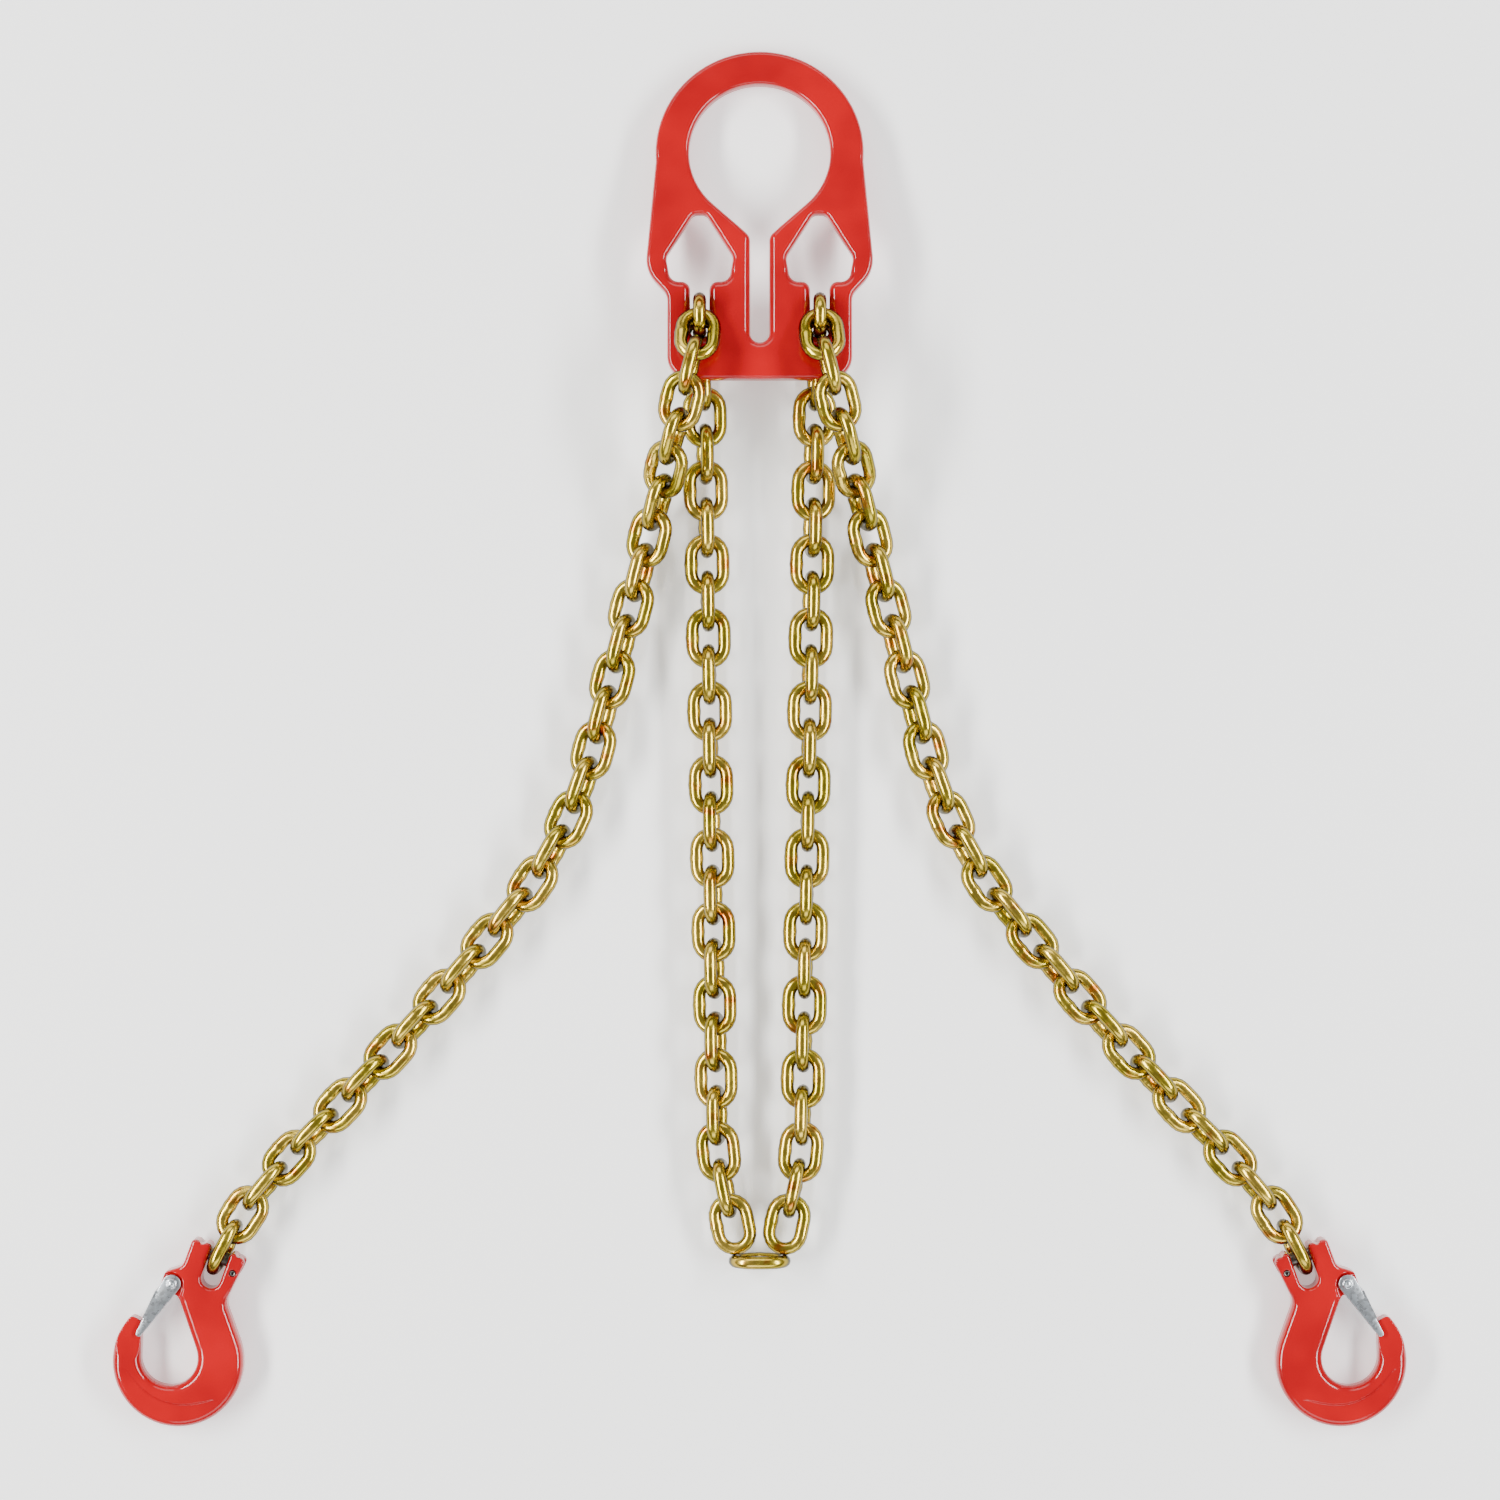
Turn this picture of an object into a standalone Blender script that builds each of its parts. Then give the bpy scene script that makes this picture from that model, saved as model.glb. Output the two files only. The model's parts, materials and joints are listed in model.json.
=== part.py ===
"""Four leg chain sling: a slotted lifting plate, two hook legs and one long chain loop, laid on a floor.

Metres, +Z up. X runs across the sling, +Y towards the plate's eye and Z away from the floor. The origin is on
the floor at the middle of the sling's box. Chain links alternate: odd ones lie flat, even ones stand on edge.
"""

import math

import bmesh
import bpy
from mathutils import Matrix, Vector

MM = 0.001

# Chain: 8 mm round wire at a 24 mm pitch.
WIRE = 8.0 * MM
PITCH = 24.0 * MM
LINK_WIDTH = 28.8 * MM
LINK_GAP = 0.4 * MM
WELD = (2.6 * MM, 4.2 * MM, 2.6 * MM)
LINK_SIDES = 6
BOW_STEPS = 4
RUN_LINKS = 3

# Legs: headings are degrees from straight down towards the outside, pitches are degrees above level.
LEG_LINKS = 30
LEG_SINGLES = 3
LEG_HEADINGS = ((1, 5.0), (2, 14.0), (13, 15.0), (18, 39.0), (26, 44.5), (28, 40.0), (30, 27.0))
LEG_PITCHES = (31.0, 8.0, -14.0, -26.0, -28.0, -22.0, -12.0)
LEG_ROLLS = ((1, 0.0), (5, 20.0), (25, 20.0), (30, 6.0))
CHAIN_HEIGHT = LINK_WIDTH / 2 + 0.1 * MM  # middle of a link that lies on the floor

# Loop: links on each side, and one bottom link across.
LOOP_LINKS = 25
LOOP_HEADINGS = ((1, 3.0), (2, 3.0), (3, 1.0), (22, 1.0), (23, 6.0), (24, 12.0))
LOOP_ROLLS = {
    -1: ((1, 0.0), (3, -10.0), (21, 18.0), (25, 5.0)),
    1: ((1, 0.0), (3, -14.0), (21, 8.0), (25, 3.0)),
}

# Plate, in its own plane: u across, v up towards the crown, both from the eye's centre.
PLATE_THICK = 12.0 * MM
PLATE_EDGE = 2.0 * MM
PLATE_TILT = 8.2
EYE_RADIUS = 46.0 * MM
BAND = 22.0 * MM
FLARE_HALF = 74.5 * MM
FLARE_DROP = 76.0 * MM
WAIST_HALF = 60.0 * MM
WAIST_DROP = 99.0 * MM
PLATE_DROP = 151.0 * MM
CORNER = 15.0 * MM
SLOT_WIDTH = WIRE + 4.4 * MM
SLOT_FLARE = 4.2 * MM
SLOT_DROP = 124.0 * MM
SLOT_OUT = 39.0 * MM
CENTRE_SLOT_DROP = 126.5 * MM
MOUTH_DROP = 56.0 * MM
WINDOW_HALF = 22.0 * MM
WINDOW_TOP = 41.0 * MM
WINDOW_WAIST = 74.0 * MM
WINDOW_FLOOR = 86.0 * MM

# Hook, in its own plane: x across, y up the chain, both from the load pin's centre.
HOOK_HEADING = 20.5
HOOK_THICK = 18.0 * MM
HOOK_EDGE = 2.0 * MM
BOWL_CENTRE = (-1.5 * MM, -73.5 * MM)
BOWL_OUTER = 42.8 * MM
BOWL_HOLLOW = (-7.8 * MM, -73.0 * MM)
BOWL_INNER = 18.5 * MM
EAR_GAP_HALF = WIRE / 2 + 2.4 * MM
EAR_LEFT = -20.2 * MM
EAR_RIGHT = 17.4 * MM
EAR_TOP = 7.5 * MM
LOAD_PIN_RADIUS = 4.5 * MM
PIN_CLEARANCE = 0.3 * MM
GROOVE_RADIUS = 3.4 * MM
RETAINER_RADIUS = 2.0 * MM
LATCH_PIVOT = (-22.8 * MM, -26.2 * MM)
LATCH_LENGTH = 41.4 * MM
LATCH_LEAN = 13.0
LATCH_SHEET = 1.6 * MM
LATCH_ROUND = 6.0 * MM
LATCH_TIP = 2.0 * MM
LATCH_CLEARANCE = 0.35 * MM
WEB_TOP = -9.2 * MM
WEB_LOW_RISE = 12.4 * MM
BOSS_HALF = 6.0 * MM
RIVET_RADIUS = 2.0 * MM
RIVET_HEAD = 3.7 * MM
SPRING_WIRE = 1.2 * MM
SPRING_TURNS = 3
CRESCENT_DEPTH = 1.6 * MM
CRESCENT_RIM = 4.5 * MM
CRESCENT_WIDTH = 8.5 * MM
NOSE_FOOT = -84.0 * MM
NOSE_STEP = -70.0 * MM
NOSE_PEAK = -50.0 * MM
NOSE_MIDDLE = -37.0 * MM
NOSE_HALF = 12.0 * MM
NOSE_SLACK = 0.4 * MM
BOSS_SWEEP_GAP = 1.6 * MM
POCKET_RADIUS = 5.4 * MM
POCKET_GAP = 0.9 * MM
PIN_RECESS = 2.4 * MM
PIN_MIDDLE = (EAR_LEFT + EAR_RIGHT) / 2
RETAINER_PLACE = (12.2 * MM, -(GROOVE_RADIUS + RETAINER_RADIUS + PIN_CLEARANCE), 0.0)
CHEEK_IN = BOSS_HALF + LATCH_CLEARANCE
HEAD_GAP = 0.5 * MM
HEAD_HEIGHT = 1.3 * MM
FLOOR_GAP = 0.1 * MM
CROSSWISE = Matrix.Rotation(math.radians(90.0), 4, "Y")

RED = (0.72, 0.008, 0.008)
GOLD = (0.62, 0.45, 0.12)
ZINC = (0.62, 0.63, 0.65)
STEEL = (0.35, 0.34, 0.33)


def clear_scene():
    for obj in list(bpy.data.objects):
        bpy.data.objects.remove(obj, do_unlink=True)


def collection(name, hidden=False):
    made = bpy.data.collections.new(name)
    bpy.context.scene.collection.children.link(made)
    made.hide_render = hidden
    return made


def material(name, colour, roughness, metallic):
    made = bpy.data.materials.new(name)
    made.use_nodes = True
    shader = made.node_tree.nodes["Principled BSDF"]
    shader.inputs["Base Color"].default_value = (*colour, 1.0)
    shader.inputs["Roughness"].default_value = roughness
    shader.inputs["Metallic"].default_value = metallic
    made.diffuse_color = (*colour, 1.0)
    return made


def ramp(stops, n):
    """The value at link n, read along straight runs between (link, value) stops."""
    for (n0, v0), (n1, v1) in zip(stops, stops[1:]):
        if n <= n1:
            share = max(0.0, (n - n0) / (n1 - n0))
            return v0 + (v1 - v0) * share
    return stops[-1][1]


def arc(centre, radius, start, end, steps):
    """Points on a circle from start to end degrees."""
    angles = [math.radians(start + (end - start) * i / steps) for i in range(steps + 1)]
    return [(centre[0] + radius * math.cos(a), centre[1] + radius * math.sin(a), 0.0) for a in angles]


def rounded(corners, step=30.0):
    """An outline through corners (x, y, radius), each rounded by an arc of its radius."""
    points = []
    for i, (x, y, radius) in enumerate(corners):
        if radius == 0.0:
            points.append((x, y))
            continue
        here = Vector((x, y))
        back = (Vector(corners[i - 1][:2]) - here).normalized()
        ahead = (Vector(corners[(i + 1) % len(corners)][:2]) - here).normalized()
        half = back.angle(ahead) / 2
        centre = here + (back + ahead).normalized() * (radius / math.sin(half))
        first = here + back * (radius / math.tan(half)) - centre
        turn = (here + ahead * (radius / math.tan(half)) - centre).angle_signed(first)
        steps = max(2, round(abs(math.degrees(turn)) / step))
        for k in range(steps + 1):
            points.append(tuple(centre + Matrix.Rotation(turn * k / steps, 2) @ first))
    return points


def tangent_angle(point, centre, radius, side):
    """Degrees on a circle where the line from an outside point touches it, on the side given as 1 or -1."""
    away = Vector(point[:2]) - Vector(centre)
    return math.degrees(math.atan2(away.y, away.x) + side * math.acos(radius / away.length))


def mesh_object(name, mesh, target, mat, matrix=None, parent=None):
    obj = bpy.data.objects.new(name, mesh)
    target.objects.link(obj)
    if mat:
        obj.data.materials.clear()
        obj.data.materials.append(mat)
    obj.parent = parent
    obj.matrix_local = matrix or Matrix()
    return obj


def evaluated_mesh(obj, name):
    """The object's finished mesh, with its doubles welded."""
    bpy.context.view_layer.update()
    graph = bpy.context.evaluated_depsgraph_get()
    mesh = bpy.data.meshes.new_from_object(obj.evaluated_get(graph))
    mesh.name = name
    work = bmesh.new()
    work.from_mesh(mesh)
    bmesh.ops.remove_doubles(work, verts=work.verts, dist=0.001 * MM)
    work.to_mesh(mesh)
    work.free()
    return mesh


def curve_object(name, target):
    data = bpy.data.curves.new(name, "CURVE")
    obj = bpy.data.objects.new(name, data)
    target.objects.link(obj)
    return obj


def add_spline(data, points, cyclic):
    spline = data.splines.new("POLY")
    spline.points.add(len(points) - 1)
    for place, point in zip(spline.points, points):
        place.co = (*point, *([0.0] * (3 - len(point))), 1.0)
    spline.use_cyclic_u = cyclic


def flat_mesh(name, outlines, half, edge=0.0, grow=False):
    """A mesh of flat outlines given thickness, chamfered inside the outline or, with grow, outside it."""
    obj = curve_object(name, helpers)
    obj.data.dimensions = "2D"
    obj.data.fill_mode = "BOTH"
    for outline in outlines:
        add_spline(obj.data, outline, True)
    obj.data.extrude = half - (0.0 if grow else edge)
    obj.data.bevel_depth = edge
    obj.data.bevel_resolution = 0
    obj.data.offset = 0.0 if grow else -edge
    mesh = evaluated_mesh(obj, name)
    bpy.data.objects.remove(obj)
    return mesh


def wire_mesh(name, points, radius, cyclic, resolution):
    """A mesh of round wire along points."""
    obj = curve_object(name, helpers)
    obj.data.dimensions = "3D"
    add_spline(obj.data, points, cyclic)
    obj.data.bevel_depth = radius
    obj.data.bevel_resolution = resolution
    obj.data.use_fill_caps = not cyclic
    mesh = evaluated_mesh(obj, name)
    bpy.data.objects.remove(obj)
    return mesh


def cylinder_mesh(name, radius, length, sides=16):
    work = bmesh.new()
    bmesh.ops.create_cone(work, cap_ends=True, segments=sides, radius1=radius, radius2=radius, depth=length)
    mesh = bpy.data.meshes.new(name)
    work.to_mesh(mesh)
    work.free()
    return mesh


def box_mesh(name, size):
    work = bmesh.new()
    bmesh.ops.create_cube(work, size=1.0, matrix=Matrix.Diagonal((*size, 1.0)))
    mesh = bpy.data.meshes.new(name)
    work.to_mesh(mesh)
    work.free()
    return mesh


def helper(name, mesh, matrix=None):
    obj = mesh_object(name, mesh, helpers, None, matrix)
    obj.hide_render = True
    obj.display_type = "WIRE"
    return obj


def cut(mesh, matrix=None):
    return "DIFFERENCE", helper("cutter", mesh, matrix)


def join(mesh, matrix=None):
    return "UNION", helper("addition", mesh, matrix)


def at(x, y, z):
    return Matrix.Translation((x, y, z))


def combined(name, mesh, changes):
    """The mesh after each (operation, helper) in turn, with the helpers removed."""
    base = helper(name + "_base", mesh)
    for operation, other in changes:
        modifier = base.modifiers.new(operation.lower(), "BOOLEAN")
        modifier.operation = operation
        modifier.object = other
    result = evaluated_mesh(base, name)
    for obj in [base] + [other for _, other in changes]:
        bpy.data.objects.remove(obj)
    return result


def turned(name, profile, steps=16):
    """A mesh turned about Z from a profile of (radius, height) points, top to bottom."""
    mesh = bpy.data.meshes.new(name)
    mesh.from_pydata([(r, 0.0, z) for r, z in profile], [(i, i + 1) for i in range(len(profile) - 1)], [])
    obj = helper(name + "_profile", mesh)
    screw = obj.modifiers.new("turn", "SCREW")
    screw.steps = steps
    screw.render_steps = steps
    screw.merge_threshold = 0.01 * MM
    screw.use_merge_vertices = True
    made = evaluated_mesh(obj, name)
    bpy.data.objects.remove(obj)
    return made


def direction(heading, pitch):
    """Unit vector at a heading (degrees from -Y towards -X) and a pitch (degrees up)."""
    h = math.radians(heading)
    p = math.radians(pitch)
    return Vector((-math.sin(h) * math.cos(p), -math.cos(h) * math.cos(p), math.sin(p)))


def frame_of(along, heading):
    """Level side vector and upward vector of a link that runs along a direction."""
    h = math.radians(heading)
    across = Vector((math.cos(h), -math.sin(h), 0.0))
    return across, along.cross(across)


def placed(x_axis, y_axis, z_axis, origin):
    matrix = Matrix((x_axis, y_axis, z_axis)).transposed().to_4x4()
    matrix.translation = origin
    return matrix


HALF_REACH = (PITCH + LINK_GAP + WIRE) / 2  # link centre to the middle of the wire at its end
INNER_REACH = HALF_REACH - WIRE - LINK_GAP  # link centre to the middle of the next link's wire


def link_matrix(centre, along, heading, roll, upright):
    across, up = frame_of(along, heading)
    turn = math.radians(roll + (90.0 if upright else 0.0))
    side = across * math.cos(turn) + up * math.sin(turn)
    return placed(side, along, side.cross(along), centre)


def lay_chain(wire, headings, pitches, rolls, mirror):
    """Matrices of links laid end to end from the first link's top wire centre, and the end wire centre."""
    matrices = []
    for i, (heading, pitch, roll) in enumerate(zip(headings, pitches, rolls)):
        upright = i % 2 == 1
        if i:
            flat, edge = (i - 1, i) if upright else (i, i - 1)
            offset = direction(mirror * headings[flat], pitches[edge])
            wire = wire - offset * (WIRE + LINK_GAP)
        along = direction(mirror * heading, pitch)
        centre = wire + along * HALF_REACH
        matrices.append(link_matrix(centre, along, mirror * heading, roll, upright))
        wire = centre + along * HALF_REACH
    return matrices, wire


def plate_matrix():
    tilt = math.radians(PLATE_TILT)
    rise = (EYE_RADIUS + BAND - PLATE_EDGE) * math.sin(tilt) + PLATE_THICK / 2 * math.cos(tilt)
    return Matrix.Translation((0.0, 0.0, rise)) @ Matrix.Rotation(-tilt, 4, "X")


def seat_matrix(side):
    """The link that sits in a slot: it runs through the plate, with its width up the slot."""
    drop = SLOT_DROP - LINK_WIDTH / 2 - LINK_GAP
    seat = Vector((side * SLOT_OUT, -drop, 0.0))
    local = placed(Vector((0, 1, 0)), Vector((0, 0, 1)), Vector((1, 0, 0)), seat)
    return plate_matrix() @ local


def seat_wire(side, face):
    """Centre of the neighbouring link's wire at the seated link's upper (1) or lower (-1) bow."""
    return seat_matrix(side) @ Vector((0.0, face * INNER_REACH, 0.0))


def leg_layout(side):
    headings = [ramp(LEG_HEADINGS, n) for n in range(1, LEG_LINKS + 1)]
    rolls = [-side * ramp(LEG_ROLLS, n) for n in range(1, LEG_LINKS + 1)]
    start = seat_wire(side, 1)
    pitches = list(LEG_PITCHES)
    _, end = lay_chain(start, headings, pitches, rolls, -side)
    pitches.append(math.degrees(math.asin((CHAIN_HEIGHT - end.z) / (2 * INNER_REACH))))
    pitches += [0.0] * (LEG_LINKS - len(pitches))
    return lay_chain(start, headings, pitches, rolls, -side)


def loop_layout(side):
    headings = [-ramp(LOOP_HEADINGS, n) for n in range(1, LOOP_LINKS)]
    rolls = [ramp(LOOP_ROLLS[side], n) for n in range(1, LOOP_LINKS + 1)]
    start = seat_wire(side, -1)
    drop = start.z - CHAIN_HEIGHT
    pitches = [-math.degrees(math.asin(drop / (2 * HALF_REACH)))] + [0.0] * (LOOP_LINKS - 1)
    _, end = lay_chain(start, headings, pitches, rolls, -side)
    spare = abs(end.x) - HALF_REACH
    headings.append(-math.degrees(math.asin(spare / (2 * INNER_REACH))))
    return lay_chain(start, headings, pitches, rolls, -side)


def link_path():
    """The middle line of a link's wire: two half circles and the straight runs between them."""
    radius = (LINK_WIDTH - WIRE) / 2
    rise = HALF_REACH - radius
    top = arc((0.0, rise), radius, 0.0, 180.0, BOW_STEPS)
    bottom = arc((0.0, -rise), radius, 180.0, 360.0, BOW_STEPS)
    return top + bottom


def link_run(name, matrices, parent, mat):
    """Links joined where their wires meet, as one solid with its origin at the first link."""
    home = matrices[0]
    changes = []
    for i, matrix in enumerate(matrices[1:], 1):
        before = matrices[i - 1]
        touch = (before @ Vector((0, HALF_REACH, 0)) + matrix @ Vector((0, -HALF_REACH, 0))) / 2
        weld = matrix.copy()
        weld.translation = touch
        changes.append(join(box_mesh("weld", WELD), home.inverted() @ weld))
        changes.append(join(LINK, home.inverted() @ matrix))
    mesh = combined(name, LINK.copy(), changes)
    return mesh_object(name, mesh, parts, mat, home, parent)


def make_links(prefix, matrices, singles, parent, mat):
    """The first links one by one, then the rest in joined runs."""
    for n in range(singles):
        mesh_object(f"{prefix}_link_{n + 1}", LINK, parts, mat, matrices[n], parent)
    for n, start in enumerate(range(singles, len(matrices), RUN_LINKS), 1):
        link_run(f"{prefix}_run_{n}", matrices[start : start + RUN_LINKS], parent, mat)


def plate_outer():
    """The crown's arc, the flared sides, the shoulders and the straight lower body."""
    crown = EYE_RADIUS + BAND
    shoulder = 22.0 * MM
    corners = [
        (FLARE_HALF, -FLARE_DROP - 3.0 * MM, shoulder),
        (WAIST_HALF, -WAIST_DROP + 4.0 * MM, shoulder / 2),
        (WAIST_HALF, -PLATE_DROP, CORNER),
    ]
    lean = math.degrees(math.atan2(FLARE_HALF - crown, FLARE_DROP))
    right = [(x, y, 0.0) for x, y, _ in arc((0.0, 0.0), crown, 90.0, -lean, 12)]
    left = [(-x, y, r) for x, y, r in reversed(right[1:] + corners)]
    return rounded(right + corners + left)


def eye_outline():
    """The round eye, the funnel under it and the long slot down from the funnel's mouth."""
    half = SLOT_WIDTH / 2
    mouth = (half, -MOUTH_DROP)
    touch = tangent_angle(mouth, (0.0, 0.0), EYE_RADIUS, 1)
    eye = [(x, y, 0.0) for x, y, _ in arc((0.0, 0.0), EYE_RADIUS, 180.0 - touch, touch, 24)]
    right = [(half, -MOUTH_DROP, 5.0 * MM), (half, -CENTRE_SLOT_DROP, half)]
    left = [(-x, y, r) for x, y, r in reversed(right)]
    return rounded(eye + right + left)


def window_outline(side):
    """An arrowhead window with the chain slot down from its floor."""
    half = SLOT_WIDTH / 2
    right = [
        (4.0 * MM, -WINDOW_TOP, 5.0 * MM),
        (WINDOW_HALF, -WINDOW_WAIST + 4.0 * MM, 8.0 * MM),
        (WINDOW_HALF - 3.0 * MM, -WINDOW_FLOOR, 8.0 * MM),
        (half, -WINDOW_FLOOR, 3.0 * MM),
        (half, -SLOT_DROP, half * 0.999),
    ]
    left = [(-x, y, r) for x, y, r in reversed(right)]
    return [(x + side * SLOT_OUT, y) for x, y in rounded(right + left)]


def slot_flare(centre, top, bottom):
    """A cutter that eases a slot's edges on one face: the slot's outline, grown and chamfered."""
    half = SLOT_WIDTH / 2
    corners = [
        (centre + half, -top, half * 0.999),
        (centre + half, -bottom, half * 0.999),
        (centre - half, -bottom, half * 0.999),
        (centre - half, -top, half * 0.999),
    ]
    return flat_mesh("flare", [rounded(corners, 45.0)], 0.0, SLOT_FLARE, grow=True)


def make_plate(parent, mat):
    outlines = [plate_outer(), eye_outline(), window_outline(-1), window_outline(1)]
    mesh = flat_mesh("plate", outlines, PLATE_THICK / 2, PLATE_EDGE)
    changes = []
    reach = 3.0 * MM
    for face in (-1, 1):
        for centre, top, bottom in (
            (0.0, MOUTH_DROP + reach, CENTRE_SLOT_DROP),
            (-SLOT_OUT, WINDOW_FLOOR - reach, SLOT_DROP),
            (SLOT_OUT, WINDOW_FLOOR - reach, SLOT_DROP),
        ):
            changes.append(cut(slot_flare(centre, top, bottom), at(0, 0, face * PLATE_THICK / 2)))
    mesh_object("shortening_plate", combined("plate", mesh, changes), parts, mat, plate_matrix(), parent)


def hook_outline():
    """Ears, waist, bowl and nose in one outline, from the left ear's inner top corner."""
    waist = (14.2 * MM, -25.5 * MM, 12.0 * MM)
    nose_outer = (-40.6 * MM, -55.2 * MM, 3.0 * MM)
    nose_inner = (-33.6 * MM, -56.4 * MM, 2.5 * MM)
    throat = (-16.6 * MM, -32.6 * MM, 3.0 * MM)
    floor = -20.6 * MM
    boss_low = LATCH_PIVOT[1] - 6.6 * MM
    outer = arc(
        BOWL_CENTRE,
        BOWL_OUTER,
        tangent_angle(waist, BOWL_CENTRE, BOWL_OUTER, -1),
        tangent_angle(nose_outer, BOWL_CENTRE, BOWL_OUTER, 1) - 360.0,
        18,
    )
    inner = arc(
        BOWL_HOLLOW,
        BOWL_INNER,
        tangent_angle(nose_inner, BOWL_HOLLOW, BOWL_INNER, 1),
        360.0 + tangent_angle(throat, BOWL_HOLLOW, BOWL_INNER, -1),
        14,
    )
    corners = [
        (-EAR_GAP_HALF, EAR_TOP, 2.4 * MM),
        (-EAR_GAP_HALF, floor, EAR_GAP_HALF * 0.98),
        (EAR_GAP_HALF, floor, EAR_GAP_HALF * 0.98),
        (EAR_GAP_HALF, EAR_TOP, 2.4 * MM),
        (EAR_RIGHT, EAR_TOP - 3.0 * MM, 2.6 * MM),
        waist,
    ]
    boss = [
        throat,
        (LATCH_PIVOT[0] - 6.8 * MM, boss_low, 5.5 * MM),
        (LATCH_PIVOT[0] - 6.8 * MM, LATCH_PIVOT[1] + 6.0 * MM, 4.0 * MM),
        (EAR_LEFT, -13.0 * MM, 6.0 * MM),
        (EAR_LEFT, EAR_TOP - 1.0 * MM, 2.6 * MM),
    ]
    return rounded(corners + outer + [nose_outer, nose_inner] + inner + boss)


def side_wedge(face):
    """A cutter over one face of the nose: it thins the nose to the latch's inner width."""
    low = BOSS_HALF - NOSE_SLACK
    outline = [
        (NOSE_FOOT, HOOK_THICK / 2 + NOSE_SLACK),
        (NOSE_STEP, low),
        (NOSE_PEAK, low),
        (NOSE_PEAK, HOOK_THICK),
        (NOSE_FOOT, HOOK_THICK),
    ]
    mesh = flat_mesh("wedge", [outline], NOSE_HALF)
    turn = placed(Vector((0, 1, 0)), Vector((0, 0, face)), Vector((face, 0, 0)), Vector((NOSE_MIDDLE, 0, 0)))
    return mesh, turn


def crescent(face):
    """A cutter for the shallow crescent that the forging has on each face below the bowl."""
    lifted = (BOWL_CENTRE[0], BOWL_CENTRE[1] + 1.0 * MM)
    outer = arc(BOWL_CENTRE, BOWL_OUTER - CRESCENT_RIM, 212.0, 328.0, 10)
    inner = arc(lifted, BOWL_OUTER - CRESCENT_RIM - CRESCENT_WIDTH, 322.0, 218.0, 10)
    mesh = flat_mesh("crescent", [[point[:2] for point in outer + inner]], 2 * CRESCENT_DEPTH)
    return mesh, at(0, 0, face * (HOOK_THICK / 2 + CRESCENT_DEPTH))


def hook_frame(side):
    """Where a hook lies: its origin is the load pin's centre, and its bowl droops on to the floor."""
    _, end = leg_layout(side)
    last = direction(-side * ramp(LEG_HEADINGS, LEG_LINKS), 0.0)
    pin = end - last * (LOAD_PIN_RADIUS + WIRE / 2 + LINK_GAP)
    heading = -side * HOOK_HEADING
    fall = CHAIN_HEIGHT - HOOK_THICK / 2 - FLOOR_GAP
    lean = math.degrees(math.asin(fall / (BOWL_OUTER - BOWL_CENTRE[1])))
    along = direction(heading, -lean)
    across, up = frame_of(along, heading)
    return placed(-side * across, -along, up, pin)


def hook_body_mesh():
    """The forging: its outline given thickness, then thinned, recessed and bored."""
    changes = [cut(*side_wedge(1)), cut(*side_wedge(-1)), cut(*crescent(1)), cut(*crescent(-1))]
    bore = cylinder_mesh("bore", LOAD_PIN_RADIUS + PIN_CLEARANCE, 3 * HOOK_THICK, 20)
    changes.append(cut(bore, at(PIN_MIDDLE, 0, 0) @ CROSSWISE))
    cross = cylinder_mesh("cross", RETAINER_RADIUS + PIN_CLEARANCE, 2 * HOOK_THICK)
    changes.append(cut(cross, at(*RETAINER_PLACE)))
    pivot = at(*LATCH_PIVOT, 0)
    changes.append(cut(cylinder_mesh("rivet_bore", RIVET_RADIUS + PIN_CLEARANCE, 2 * HOOK_THICK), pivot))
    sweep = LATCH_ROUND + BOSS_SWEEP_GAP
    deep = HOOK_THICK
    for face in (-1, 1):
        lift = face * (BOSS_HALF + deep / 2)
        changes.append(cut(cylinder_mesh("clear", sweep, deep, 20), pivot @ at(0, 0, lift)))
        under = box_mesh("under", (2 * sweep, 1.5 * sweep, deep))
        changes.append(cut(under, pivot @ at(1.0 * MM, -0.75 * sweep, lift)))
    pocket = SPRING_WIRE * SPRING_TURNS + 2 * POCKET_GAP
    changes.append(cut(cylinder_mesh("pocket", POCKET_RADIUS, pocket, 20), pivot))
    open_side = box_mesh("open_side", (4 * POCKET_RADIUS, 1.96 * POCKET_RADIUS, pocket))
    changes.append(cut(open_side, pivot @ at(-2 * POCKET_RADIUS, 0, 0)))
    blank = flat_mesh("hook", [hook_outline()], HOOK_THICK / 2, HOOK_EDGE)
    return combined("hook", blank, changes)


def load_pin_mesh():
    """A plain pin with a waist that the retaining pin crosses."""
    groove = RETAINER_PLACE[0] - PIN_MIDDLE
    half = (EAR_RIGHT - EAR_LEFT) / 2 - PIN_RECESS
    wide = RETAINER_RADIUS + 2 * PIN_CLEARANCE
    chamfer = 0.6 * MM
    profile = [
        (0.0, half),
        (LOAD_PIN_RADIUS - chamfer, half),
        (LOAD_PIN_RADIUS, half - chamfer),
        (LOAD_PIN_RADIUS, groove + wide),
        (GROOVE_RADIUS, groove + wide),
        (GROOVE_RADIUS, groove - wide),
        (LOAD_PIN_RADIUS, groove - wide),
        (LOAD_PIN_RADIUS, chamfer - half),
        (LOAD_PIN_RADIUS - chamfer, -half),
        (0.0, -half),
    ]
    return turned("load_pin", profile)


def rivet_mesh():
    """A shank with a low domed head at each end, outside the latch's cheeks."""
    seat = CHEEK_IN + LATCH_SHEET + HEAD_GAP
    rivet = [
        (0.0, seat + HEAD_HEIGHT),
        (RIVET_HEAD * 0.6, seat + HEAD_HEIGHT),
        (RIVET_HEAD, seat + HEAD_HEIGHT * 0.4),
        (RIVET_HEAD, seat),
        (RIVET_RADIUS, seat),
    ]
    rivet += [(r, -z) for r, z in reversed(rivet)]
    return turned("latch_rivet", rivet, 14)


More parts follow.
